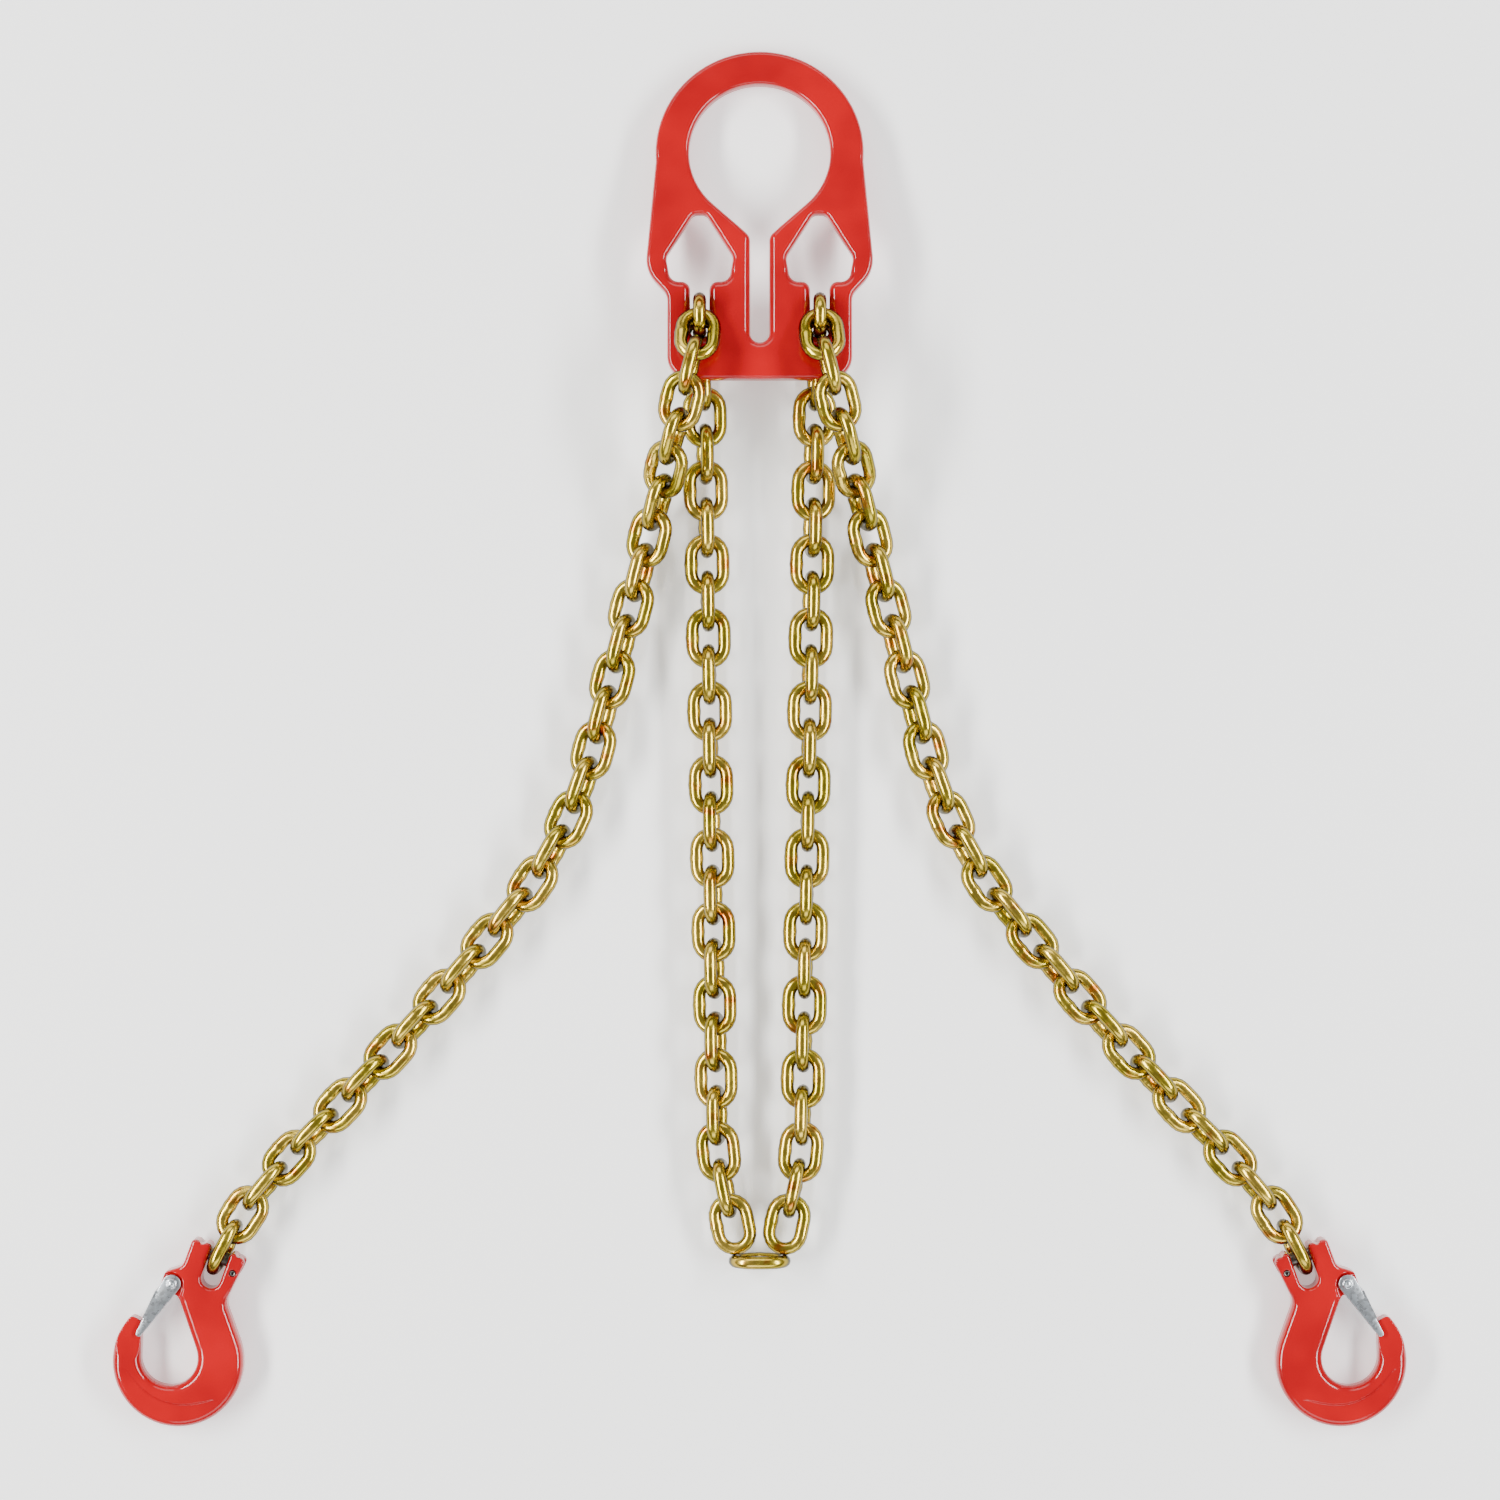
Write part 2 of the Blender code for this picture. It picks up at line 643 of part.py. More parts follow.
def make_hook(side, parent, mats):
    """One clevis sling hook with its pins, latch, rivet and spring, in the load pin's frame."""
    name = "left" if side < 0 else "right"
    matrix = hook_frame(side)
    pivot = at(*LATCH_PIVOT, 0)
    lean = Matrix.Rotation(math.radians(-LATCH_LEAN), 4, "Z")
    retainer = cylinder_mesh("retaining_pin", RETAINER_RADIUS, HOOK_THICK - 2 * HEAD_GAP, 12)
    pieces = [
        ("hook_body", hook_body_mesh(), "red", Matrix()),
        ("load_pin", load_pin_mesh(), "steel", at(PIN_MIDDLE, 0, 0) @ CROSSWISE),
        ("retaining_pin", retainer, "steel", at(*RETAINER_PLACE)),
        ("latch_rivet", rivet_mesh(), "steel", pivot),
        ("latch_spring", spring_mesh(), "steel", pivot),
        ("latch", latch_mesh(), "zinc", pivot @ lean),
    ]
    for node, mesh, mat, local in pieces:
        mesh_object(f"{name}_{node}", mesh, parts, mats[mat], matrix @ local, parent)


def spring_mesh():
    """A close coil round the rivet with one straight leg down towards the latch's back."""
    radius = RIVET_RADIUS + 0.5 * MM + SPRING_WIRE
    rise = SPRING_WIRE * 1.12
    per_turn = 10
    points = []
    for i in range(per_turn * SPRING_TURNS + 1):
        turn = 2 * math.pi * i / per_turn + math.pi
        height = rise * (i / per_turn - SPRING_TURNS / 2)
        points.append((radius * math.cos(turn), radius * math.sin(turn), height))
    x, y, z = points[-1]
    points.append((x - 0.6 * MM, y - 4.4 * MM, z))
    return wire_mesh("latch_spring", points, SPRING_WIRE / 2, False, 0)


def latch_mesh():
    """Two tapered cheeks and the web that joins them along the outer edge, as one folded sheet."""
    round_end = arc((0.0, 0.0), LATCH_ROUND, -8.0, 188.0, 10)
    tip = arc((0.0, LATCH_TIP - LATCH_LENGTH), LATCH_TIP, 188.0, 352.0, 5)
    outline = [point[:2] for point in round_end + tip]
    half = LATCH_SHEET / 2
    middle = CHEEK_IN + half
    base = flat_mesh("cheek", [outline], half)
    base.transform(at(0, 0, middle))
    other = join(flat_mesh("cheek", [outline], half), at(0, 0, -middle))
    web_top = Vector((-LATCH_ROUND + 0.4 * MM, WEB_TOP))
    web_low = Vector((-LATCH_TIP - 0.9 * MM, WEB_LOW_RISE - LATCH_LENGTH))
    run = web_low - web_top
    centre = (web_top + web_low) / 2
    place = at(*centre, 0) @ Matrix.Rotation(math.atan2(run.x, -run.y), 4, "Z")
    web = join(box_mesh("web", (LATCH_SHEET, run.length, 2 * (CHEEK_IN + LATCH_SHEET))), place)
    hole = cut(cylinder_mesh("hole", RIVET_RADIUS + PIN_CLEARANCE, 4 * CHEEK_IN))
    return combined("latch", base, [web, other, hole])


def make_loop(parent, mat):
    ends = {}
    for side, name in ((-1, "left"), (1, "right")):
        matrices, ends[side] = loop_layout(side)
        make_links(f"loop_{name}", matrices, 1, parent, mat)
    middle = (ends[-1] + ends[1]) / 2
    last = -loop_last_heading()
    offset = direction(last, 0.0) * (WIRE + LINK_GAP)
    centre = Vector((0.0, middle.y - offset.y, middle.z))
    matrix = placed(Vector((0, 0, 1)), Vector((1, 0, 0)), Vector((0, 1, 0)), centre)
    mesh_object("loop_bottom_link", LINK, parts, mat, matrix, parent)


def loop_last_heading():
    matrices, _ = loop_layout(-1)
    along = matrices[-1].to_3x3() @ Vector((0, 1, 0))
    return math.degrees(math.atan2(abs(along.x), -along.y))


def middle_of_sling():
    """Half way from the crown's top to the lowest point of the hooks' bowls."""
    crown = (EYE_RADIUS + BAND) * math.cos(math.radians(PLATE_TILT))
    bowl = hook_frame(-1) @ Vector((*BOWL_CENTRE, 0.0))
    return (crown + bowl.y - BOWL_OUTER) / 2


def build():
    mats = {
        "red": material("red_enamel", RED, 0.3, 0.0),
        "gold": material("yellow_chromate", GOLD, 0.3, 1.0),
        "zinc": material("bright_zinc", ZINC, 0.35, 1.0),
        "steel": material("plain_steel", STEEL, 0.4, 1.0),
    }
    origin = bpy.data.objects.new("sling_origin", None)
    parts.objects.link(origin)
    origin.location = (0.0, -middle_of_sling(), 0.0)
    make_plate(origin, mats["red"])
    for side, name in ((-1, "left"), (1, "right")):
        mesh_object(f"{name}_slot_link", LINK, parts, mats["gold"], seat_matrix(side), origin)
        matrices, _ = leg_layout(side)
        make_links(f"{name}_leg", matrices, LEG_SINGLES, origin, mats["gold"])
        make_hook(side, origin, mats)
    make_loop(origin, mats["gold"])
    for obj in parts.objects:
        if obj.type == "MESH":
            obj.data.shade_smooth()
            obj.data.set_sharp_from_angle(angle=math.radians(40.0))


clear_scene()
parts = collection("chain_sling")
helpers = collection("helpers", hidden=True)
LINK = wire_mesh("link", link_path(), WIRE / 2, True, LINK_SIDES // 2 - 2)
build()
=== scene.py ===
import json
import math

import bmesh
import bpy
import numpy as np
from mathutils import Matrix, Vector
from mathutils.geometry import tessellate_polygon


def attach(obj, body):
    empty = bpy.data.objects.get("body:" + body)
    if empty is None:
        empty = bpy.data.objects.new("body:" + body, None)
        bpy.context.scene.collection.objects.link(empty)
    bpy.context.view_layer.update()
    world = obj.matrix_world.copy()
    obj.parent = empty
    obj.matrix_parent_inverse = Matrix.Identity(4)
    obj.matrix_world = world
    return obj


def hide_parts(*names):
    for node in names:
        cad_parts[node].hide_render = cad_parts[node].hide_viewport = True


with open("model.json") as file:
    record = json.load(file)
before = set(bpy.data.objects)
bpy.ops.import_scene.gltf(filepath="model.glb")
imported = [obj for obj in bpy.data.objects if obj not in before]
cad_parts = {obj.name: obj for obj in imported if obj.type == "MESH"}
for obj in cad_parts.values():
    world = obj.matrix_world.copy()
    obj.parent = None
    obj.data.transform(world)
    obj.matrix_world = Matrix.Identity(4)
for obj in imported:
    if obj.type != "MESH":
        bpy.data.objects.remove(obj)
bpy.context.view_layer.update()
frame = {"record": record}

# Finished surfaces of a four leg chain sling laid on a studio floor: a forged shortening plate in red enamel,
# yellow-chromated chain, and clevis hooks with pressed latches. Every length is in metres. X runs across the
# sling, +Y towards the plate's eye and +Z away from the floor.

MM = 0.001
BODY_OF = {node: body for body, nodes in frame["record"]["behaviour"]["bodies"].items() for node in nodes}

# Chain.
WIRE = 8.0 * MM
PITCH = 24.0 * MM
LINK_WIDTH = 28.8 * MM
LINK_GAP = 0.4 * MM
HALF_REACH = (PITCH + LINK_GAP + WIRE) / 2
INNER_REACH = HALF_REACH - WIRE - LINK_GAP
CHAIN_HEIGHT = LINK_WIDTH / 2 + 0.1 * MM
SIDE_SWELL = 0.2 * MM
WELD_SWELL = 0.35 * MM
WELD_LENGTH = 1.6 * MM
RUN_LINKS = 3

# Legs and loop: degrees by link number.
LEG_LINKS = 30
LEG_SINGLES = 3
LEG_HEADINGS = ((1, 5.0), (2, 14.0), (13, 15.0), (18, 39.0), (26, 44.5), (28, 40.0), (30, 27.0))
LEG_PITCHES = (31.0, 8.0, -14.0, -26.0, -28.0, -22.0, -12.0)
LEG_ROLLS = ((1, 0.0), (5, 20.0), (25, 20.0), (30, 6.0))
LOOP_LINKS = 25
LOOP_HEADINGS = ((1, 3.0), (2, 3.0), (3, 1.0), (22, 1.0), (23, 6.0), (24, 12.0))
LOOP_ROLLS = {
    -1: ((1, 0.0), (3, -10.0), (21, 18.0), (25, 5.0)),
    1: ((1, 0.0), (3, -14.0), (21, 8.0), (25, 3.0)),
}

# Plate, in its own plane: u across and v up, both from the eye's centre.
PLATE_THICK = 12.0 * MM
PLATE_TILT = 8.2
PLATE_ROLL = 3.2 * MM
SLOT_ROLL = 5.4 * MM
EYE_RADIUS = 46.0 * MM
BAND = 22.0 * MM
FLARE_HALF = 74.5 * MM
FLARE_DROP = 76.0 * MM
WAIST_HALF = 60.0 * MM
WAIST_DROP = 99.0 * MM
PLATE_DROP = 151.0 * MM
CORNER = 15.0 * MM
SLOT_HALF = WIRE / 2 + 2.2 * MM
SLOT_DROP = 124.0 * MM
SLOT_OUT = 39.0 * MM
CENTRE_SLOT_DROP = 126.5 * MM
MOUTH_DROP = 56.0 * MM
WINDOW_HALF = 22.0 * MM
WINDOW_TOP = 41.0 * MM
WINDOW_WAIST = 74.0 * MM
WINDOW_FLOOR = 86.0 * MM

# Hook, in its own plane: x across and y up the chain, both from the load pin's centre.
HOOK_HEADING = 20.5
HOOK_THICK = 18.0 * MM
BOWL_CENTRE = (-1.5 * MM, -73.5 * MM)
BOWL_OUTER = 42.8 * MM
BOWL_HOLLOW = (-7.8 * MM, -73.0 * MM)
BOWL_INNER = 18.5 * MM
EAR_GAP_HALF = WIRE / 2 + 2.4 * MM
EAR_LEFT = -20.2 * MM
EAR_RIGHT = 17.4 * MM
EAR_TOP = 7.5 * MM
EAR_NOTCH = 2.2 * MM
FORGING_GRID = 0.6 * MM
FORGING_RELAX = 5
LOAD_PIN_RADIUS = 4.5 * MM
PIN_CLEARANCE = 0.3 * MM
GROOVE_RADIUS = 3.4 * MM
RETAINER_RADIUS = 2.0 * MM
PIN_MIDDLE = (EAR_LEFT + EAR_RIGHT) / 2
RETAINER_PLACE = (12.2 * MM, -(GROOVE_RADIUS + RETAINER_RADIUS + PIN_CLEARANCE), 0.0)
LATCH_PIVOT = (-22.8 * MM, -26.2 * MM)
LATCH_LENGTH = 41.4 * MM
LATCH_LEAN = 13.0
LATCH_SHEET = 1.6 * MM
LATCH_ROUND = 6.0 * MM
LATCH_TIP = 2.0 * MM
BOSS_HALF = 6.0 * MM
CHEEK_IN = BOSS_HALF + 0.35 * MM
LATCH_ROOM = 1.6 * MM
NOSE_X = -37.0 * MM
NOSE_SLOPE_FOOT = -84.0 * MM
NOSE_SLOPE_TOP = -70.0 * MM
NOSE_CLEAR = -50.0 * MM
RIVET_RADIUS = 2.0 * MM
RIVET_HEAD = 3.7 * MM
SPRING_WIRE = 1.2 * MM
SPRING_TURNS = 3
SPRING_POCKET = 5.4 * MM


# Layout: where each link, the plate and each hook lies.


def ramp(stops, n):
    """The value at link n, read along straight runs between (link, value) stops."""
    links, values = zip(*stops)
    return float(np.interp(n, links, values))


def direction(heading, pitch):
    """Unit vector at a heading (degrees from -Y towards -X) and a pitch (degrees up)."""
    h, p = math.radians(heading), math.radians(pitch)
    return Vector((-math.sin(h) * math.cos(p), -math.cos(h) * math.cos(p), math.sin(p)))


def placed(x_axis, y_axis, z_axis, origin):
    """The matrix with these three axes and this origin."""
    matrix = Matrix((x_axis, y_axis, z_axis)).transposed().to_4x4()
    matrix.translation = origin
    return matrix


def link_matrix(centre, along, heading, roll, upright):
    """A link's frame: Y along the link, X across its wide way, which is level, or upright, plus the roll."""
    h = math.radians(heading)
    across = Vector((math.cos(h), -math.sin(h), 0.0))
    up = along.cross(across)
    turn = math.radians(roll + (90.0 if upright else 0.0))
    side = across * math.cos(turn) + up * math.sin(turn)
    return placed(side, along, side.cross(along), centre)


def lay_chain(wire, headings, pitches, rolls, mirror):
    """Matrices of links laid end to end from the first link's top wire centre, and the end wire centre."""
    matrices = []
    for i, (heading, pitch, roll) in enumerate(zip(headings, pitches, rolls)):
        upright = i % 2 == 1
        if i:
            flat, painted_shade_weight = (i - 1, i) if upright else (i, i - 1)
            wire = wire - direction(mirror * headings[flat], pitches[painted_shade_weight]) * (WIRE + LINK_GAP)
        along = direction(mirror * heading, pitch)
        centre = wire + along * HALF_REACH
        matrices.append(link_matrix(centre, along, mirror * heading, roll, upright))
        wire = centre + along * HALF_REACH
    return matrices, wire


def plate_matrix():
    """The plate's frame: the eye's centre is the record's lifting eye, and the crown dips to the floor."""
    eye = next(mount["pos_m"] for mount in frame["record"]["mounts"] if mount["name"] == "lifting_eye")
    return Matrix.Translation(eye) @ Matrix.Rotation(-math.radians(PLATE_TILT), 4, "X")


def seat_matrix(side):
    """The link that sits in a slot: it runs through the plate, with its width up the slot."""
    drop = SLOT_DROP - LINK_WIDTH / 2 - LINK_GAP
    seat = Vector((side * SLOT_OUT, -drop, 0.0))
    return plate_matrix() @ placed(Vector((0, 1, 0)), Vector((0, 0, 1)), Vector((1, 0, 0)), seat)


def leg_layout(side):
    """A leg from its slot link: it falls from the plate by the given pitches, and the link after them is
    turned so that its far wire ends at the height of chain lying on the floor."""
    headings = [ramp(LEG_HEADINGS, n) for n in range(1, LEG_LINKS + 1)]
    rolls = [-side * ramp(LEG_ROLLS, n) for n in range(1, LEG_LINKS + 1)]
    start = seat_matrix(side) @ Vector((0.0, INNER_REACH, 0.0))
    pitches = list(LEG_PITCHES)
    _, end = lay_chain(start, headings, pitches, rolls, -side)
    pitches.append(math.degrees(math.asin((CHAIN_HEIGHT - end.z) / (2 * INNER_REACH))))
    pitches += [0.0] * (LEG_LINKS - len(pitches))
    return lay_chain(start, headings, pitches, rolls, -side)


def loop_layout(side):
    """One side of the loop from its slot link: the first link falls to the floor, the rest lie on it, and the
    last one is turned so that both sides end in the link that stands across."""
    headings = [-ramp(LOOP_HEADINGS, n) for n in range(1, LOOP_LINKS)]
    rolls = [ramp(LOOP_ROLLS[side], n) for n in range(1, LOOP_LINKS + 1)]
    start = seat_matrix(side) @ Vector((0.0, -INNER_REACH, 0.0))
    fall = math.degrees(math.asin((start.z - CHAIN_HEIGHT) / (2 * HALF_REACH)))
    pitches = [-fall] + [0.0] * (LOOP_LINKS - 1)
    _, end = lay_chain(start, headings, pitches, rolls, -side)
    headings.append(-math.degrees(math.asin((abs(end.x) - HALF_REACH) / (2 * INNER_REACH))))
    return lay_chain(start, headings, pitches, rolls, -side)


def bottom_matrix():
    """The standing link across the loop's end."""
    left, end = loop_layout(-1)
    along = left[-1].to_3x3() @ Vector((0, 1, 0))
    centre = Vector((0.0, end.y + along.y * (WIRE + LINK_GAP), end.z))
    return placed(Vector((0, 0, 1)), Vector((1, 0, 0)), Vector((0, 1, 0)), centre)


def hook_frame(side):
    """Where a hook lies: its origin is the load pin's centre, and its bowl droops on to the floor."""
    _, end = leg_layout(side)
    last = direction(-side * LEG_HEADINGS[-1][1], 0.0)
    pin = end - last * (LOAD_PIN_RADIUS + WIRE / 2 + LINK_GAP)
    heading = -side * HOOK_HEADING
    fall = CHAIN_HEIGHT - HOOK_THICK / 2 - 0.1 * MM
    along = direction(heading, -math.degrees(math.asin(fall / (BOWL_OUTER - BOWL_CENTRE[1]))))
    h = math.radians(heading)
    across = Vector((math.cos(h), -math.sin(h), 0.0))
    return placed(-side * across, -along, along.cross(across), pin)


# Surfaces: each maker returns (points, faces), with points as an array.


def moved(points, matrix):
    """Points carried by a matrix."""
    m = np.array(matrix)
    return points @ m[:3, :3].T + m[:3, 3]


def grid_faces(rows, columns, wrap_rows=False):
    """Quads of a grid whose columns close on themselves, and whose rows may."""
    i, j = np.meshgrid(np.arange(rows if wrap_rows else rows - 1), np.arange(columns), indexing="ij")
    below, right = (i + 1) % rows, (j + 1) % columns
    quads = np.stack([i * columns + j, below * columns + j, below * columns + right, i * columns + right], -1)
    return quads.reshape(-1, 4)


def joined(surfaces):
    """Several (points, faces) as one."""
    points, faces, count = [], [], 0
    for p, f in surfaces:
        points.append(p)
        faces += [[corner + count for corner in face] for face in np.asarray(f, dtype=object).tolist()]
        count += len(p)
    return np.concatenate(points), faces


def arc(centre, radius, start, end, step=4.0):
    """Points on a circle from start to end degrees."""
    steps = max(2, math.ceil(abs(end - start) / step))
    angle = np.radians(np.linspace(start, end, steps + 1))
    return np.stack([centre[0] + radius * np.cos(angle), centre[1] + radius * np.sin(angle)], -1)


def rounded(corners, step=5.0):
    """An outline through corners (x, y, radius), each rounded by an arc that touches both its sides."""
    runs = []
    for i, (x, y, radius) in enumerate(corners):
        if radius == 0.0:
            runs.append([(x, y)])
            continue
        here = Vector((x, y))
        back = (Vector(corners[i - 1][:2]) - here).normalized()
        ahead = (Vector(corners[(i + 1) % len(corners)][:2]) - here).normalized()
        half = back.angle(ahead) / 2
        centre = here + (back + ahead).normalized() * (radius / math.sin(half))
        first = here + back * (radius / math.tan(half)) - centre
        turn = (here + ahead * (radius / math.tan(half)) - centre).angle_signed(first)
        angle = np.linspace(0.0, turn, max(2, round(abs(math.degrees(turn)) / step)) + 1)
        c, s = np.cos(angle), np.sin(angle)
        turned_first = np.stack([c * first.x - s * first.y, s * first.x + c * first.y], -1)
        runs.append(np.array(centre) + turned_first)
    return np.concatenate(runs)


def tangent_angle(point, centre, radius, side):
    """Degrees on a circle where the line from an outside point touches it, on the side given as 1 or -1."""
    away = Vector(point[:2]) - Vector(centre)
    return math.degrees(math.atan2(away.y, away.x) + side * math.acos(radius / away.length))


def paced(loop, pace, hole=False):
    """The loop in even steps along its length, anticlockwise, or clockwise for a hole."""
    closed = np.vstack([loop, loop[:1]])
    length = np.concatenate([[0.0], np.cumsum(np.linalg.norm(np.diff(closed, axis=0), axis=1))])
    at = np.linspace(0.0, length[-1], max(12, round(length[-1] / pace)) + 1)[:-1]
    even = np.stack([np.interp(at, length, closed[:, 0]), np.interp(at, length, closed[:, 1])], -1)
    area = np.sum(even[:, 0] * np.roll(even[:, 1], -1) - even[:, 1] * np.roll(even[:, 0], -1))
    return even[::-1] if (area < 0) != hole else even


def rolled_blank(loops, half, steps=6):
    """A flat blank with rolled edges. Each (loop, roll) is carried round a quarter turn of radius roll from
    the top face, down the side and a quarter turn back to the lower face. The flats between are filled."""
    quarter = np.linspace(0.0, np.pi / 2, steps + 1)
    turn = np.concatenate([quarter, quarter + np.pi / 2])[:, None]
    level = np.repeat([1.0, -1.0], steps + 1)[:, None]
    surfaces, tops, lows, count = [], [], [], 0
    for loop, roll in loops:
        along = np.roll(loop, -1, 0) - np.roll(loop, 1, 0)
        along /= np.linalg.norm(along, axis=1, keepdims=True)
        inward = np.stack([-along[:, 1], along[:, 0]], -1)
        inset = roll * (1.0 - np.sin(turn))
        height = level * (half - roll) + roll * np.cos(turn)
        flat = loop[None] + inward[None] * inset[..., None]
        points = np.concatenate([flat, height[..., None]], -1).reshape(-1, 3)
        surfaces.append((points, grid_faces(len(turn), len(loop))))
        tops.append(count + np.arange(len(loop)))
        lows.append(count + np.arange(len(points) - len(loop), len(points)))
        count += len(points)
    points, faces = joined(surfaces)
    for rings, sign in ((tops, 1.0), (lows, -1.0)):
        index = np.concatenate(rings)
        triangles = index[np.array(tessellate_polygon([[Vector(points[i]) for i in ring] for ring in rings]))]
        a, b, c = (points[triangles[:, k], :2] for k in range(3))
        area = np.cross(b - a, c - a) * sign
        triangles[area < 0] = triangles[area < 0][:, ::-1]
        faces += triangles[np.abs(area) > 1e-14].tolist()
    return points, faces


def prism(outline, low, high):
    """An outline carried straight up from one height to another, closed by a flat face at each end."""
    n = len(outline)
    points = np.concatenate([np.c_[outline, np.full(n, high)], np.c_[outline, np.full(n, low)]])
    faces = grid_faces(2, n).tolist() + [list(range(n)), list(range(2 * n - 1, n - 1, -1))]
    return points, faces


def drum(radius, length, centre=(0.0, 0.0), step=6.0):
    """A circle carried along Z, half its length each way, and closed."""
    return prism(arc(centre, radius, 0.0, 360.0, step)[:-1], -length / 2, length / 2)


def turned(profile, steps=32):
    """A profile of (radius, height) points, top to bottom, turned about Z."""
    angle = np.linspace(0.0, 2 * np.pi, steps, endpoint=False)
    radius, height = np.array(profile).T
    ring = np.stack([np.cos(angle), np.sin(angle)], -1)
    flat = radius[:, None, None] * ring[None]
    points = np.concatenate([flat, np.broadcast_to(height[:, None, None], (*flat.shape[:2], 1))], -1)
    return points.reshape(-1, 3), grid_faces(len(radius), steps)


def wire_along(path, radius, sides, closed):
    """A circle of the given radii carried along a path, square to it, with its side kept level or upright."""
    path = np.asarray(path)
    if closed:
        along = np.roll(path, -1, 0) - np.roll(path, 1, 0)
    else:
        along = np.gradient(path, axis=0)
    along /= np.linalg.norm(along, axis=1, keepdims=True)
    side = np.cross(along, (0.0, 0.0, 1.0))
    side /= np.linalg.norm(side, axis=1, keepdims=True)
    other = np.cross(side, along)
    angle = np.linspace(0.0, 2 * np.pi, sides, endpoint=False)[None, :, None]
    ring = side[:, None] * np.cos(angle) + other[:, None] * np.sin(angle)
    points = path[:, None] + ring * np.broadcast_to(radius, len(path))[:, None, None]
    return points.reshape(-1, 3), grid_faces(len(path), sides, wrap_rows=closed)


def link_surface():
    """Round wire bent to two half circles and two straight sides, with a low weld swelling, a bell curve,
    half way up one. The wire takes up half the frame's gap on each side, so that neighbours bear on each
    other, and is a little stouter along its sides, as a cosine squared of its place along the link."""
    radius = (LINK_WIDTH - WIRE) / 2
    rise = HALF_REACH - radius
    bow = np.radians(np.linspace(0.0, 180.0, 11))
    top = np.stack([radius * np.cos(bow), rise + radius * np.sin(bow)], -1)
    run = rise * np.array([0.55, 0.2, 0.0, -0.2, -0.55])
    left = np.stack([np.full(5, -radius), run], -1)
    flat = np.concatenate([top, left, -top, -left])
    path = np.c_[flat, np.zeros(len(flat))]
    swell = SIDE_SWELL * np.cos(np.pi / 2 * path[:, 1] / HALF_REACH) ** 2
    swell += WELD_SWELL * np.exp(-((path[:, 1] / WELD_LENGTH) ** 2)) * (path[:, 0] < 0)
    return wire_along(path, (WIRE + LINK_GAP) / 2 + swell, 12, closed=True)


# Meshes and pieces.


def mesh_of(name, surface):
    """A closed mesh of the surface, its doubles merged and its faces pointing out."""
    points, faces = surface
    mesh = bpy.data.meshes.new(name)
    mesh.from_pydata(points.tolist(), [], [list(face) for face in faces])
    work = bmesh.new()
    work.from_mesh(mesh)
    bmesh.ops.remove_doubles(work, verts=work.verts, dist=0.002 * MM)
    bmesh.ops.recalc_face_normals(work, faces=work.faces)
    work.to_mesh(mesh)
    work.free()
    return mesh


def piece(node, surface, finish, sharp=None):
    """A finished piece that stands for a CAD node, in its finish, riding on the node's body."""
    mesh = mesh_of(node + "_finished", surface)
    mesh.materials.append(FINISHES[finish])
    mesh.shade_smooth()
    if sharp:
        mesh.set_sharp_from_angle(angle=math.radians(sharp))
    obj = bpy.data.objects.new(node + "_finished", mesh)
    bpy.context.scene.collection.objects.link(obj)
    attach(obj, BODY_OF[node])
    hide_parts(node)
    return obj


def surface_of(mesh):
    """A mesh's points and faces."""
    points = np.empty(len(mesh.vertices) * 3)
    mesh.vertices.foreach_get("co", points)
    return points.reshape(-1, 3), [list(face.vertices) for face in mesh.polygons]


def worked(surface, steps, voxel=None, relax=0):
    """The surface after Boolean steps of (operation, surface), then remeshed to an even grid and relaxed."""
    base = bpy.data.objects.new("blank", mesh_of("blank", surface))
    bpy.context.scene.collection.objects.link(base)
    tools = []
    for operation, tool_surface in steps:
        tool = bpy.data.objects.new("tool", mesh_of("tool", tool_surface))
        bpy.context.scene.collection.objects.link(tool)
        modifier = base.modifiers.new("cut", "BOOLEAN")
        modifier.operation = operation
        modifier.object = tool
        tools.append(tool)
    if voxel:
        grid = base.modifiers.new("grid", "REMESH")
        grid.mode = "VOXEL"
        grid.voxel_size = voxel
        smooth = base.modifiers.new("relax", "SMOOTH")
        smooth.factor = 0.5
        smooth.iterations = relax
    bpy.context.view_layer.update()
    graph = bpy.context.evaluated_depsgraph_get()
    result = surface_of(base.evaluated_get(graph).to_mesh())
    for obj in [base, *tools]:
        bpy.data.objects.remove(obj)
    return result


# Materials.


NOISE, RANGE, MIX, BUMP = "ShaderNodeTexNoise", "ShaderNodeMapRange", "ShaderNodeMix", "ShaderNodeBump"


def lumps(size):
    """The noise scale whose lumps are about size across: half a cycle each."""
    return 0.5 / size


def linear(hex_colour):
    """Linear RGBA of an sRGB hex colour."""
    channels = [int(hex_colour[i : i + 2], 16) / 255 for i in (0, 2, 4)]
    return (*[c / 12.92 if c <= 0.04045 else ((c + 0.055) / 1.055) ** 2.4 for c in channels], 1.0)


def add(tree, kind, inputs=None, **settings):
    """Adds a node with its settings. inputs gives an input, by name or number, its value or its link."""
    made = tree.nodes.new(kind)
    for name, value in settings.items():
        setattr(made, name, value)
    for name, value in (inputs or {}).items():
        if isinstance(value, bpy.types.NodeSocket):
            tree.links.new(value, made.inputs[name])
        else:
            made.inputs[name].default_value = value
    return made


def started(name, **sockets):
    """A material with one Principled shader, its constant sockets set."""
    made = bpy.data.materials.new(name)
    made.use_nodes = True
    shader = made.node_tree.nodes["Principled BSDF"]
    for socket, value in sockets.items():
        shader.inputs[socket.replace("_", " ")].default_value = value
    place = add(made.node_tree, "ShaderNodeTexCoord").outputs["Object"]
    return made, made.node_tree, shader, place


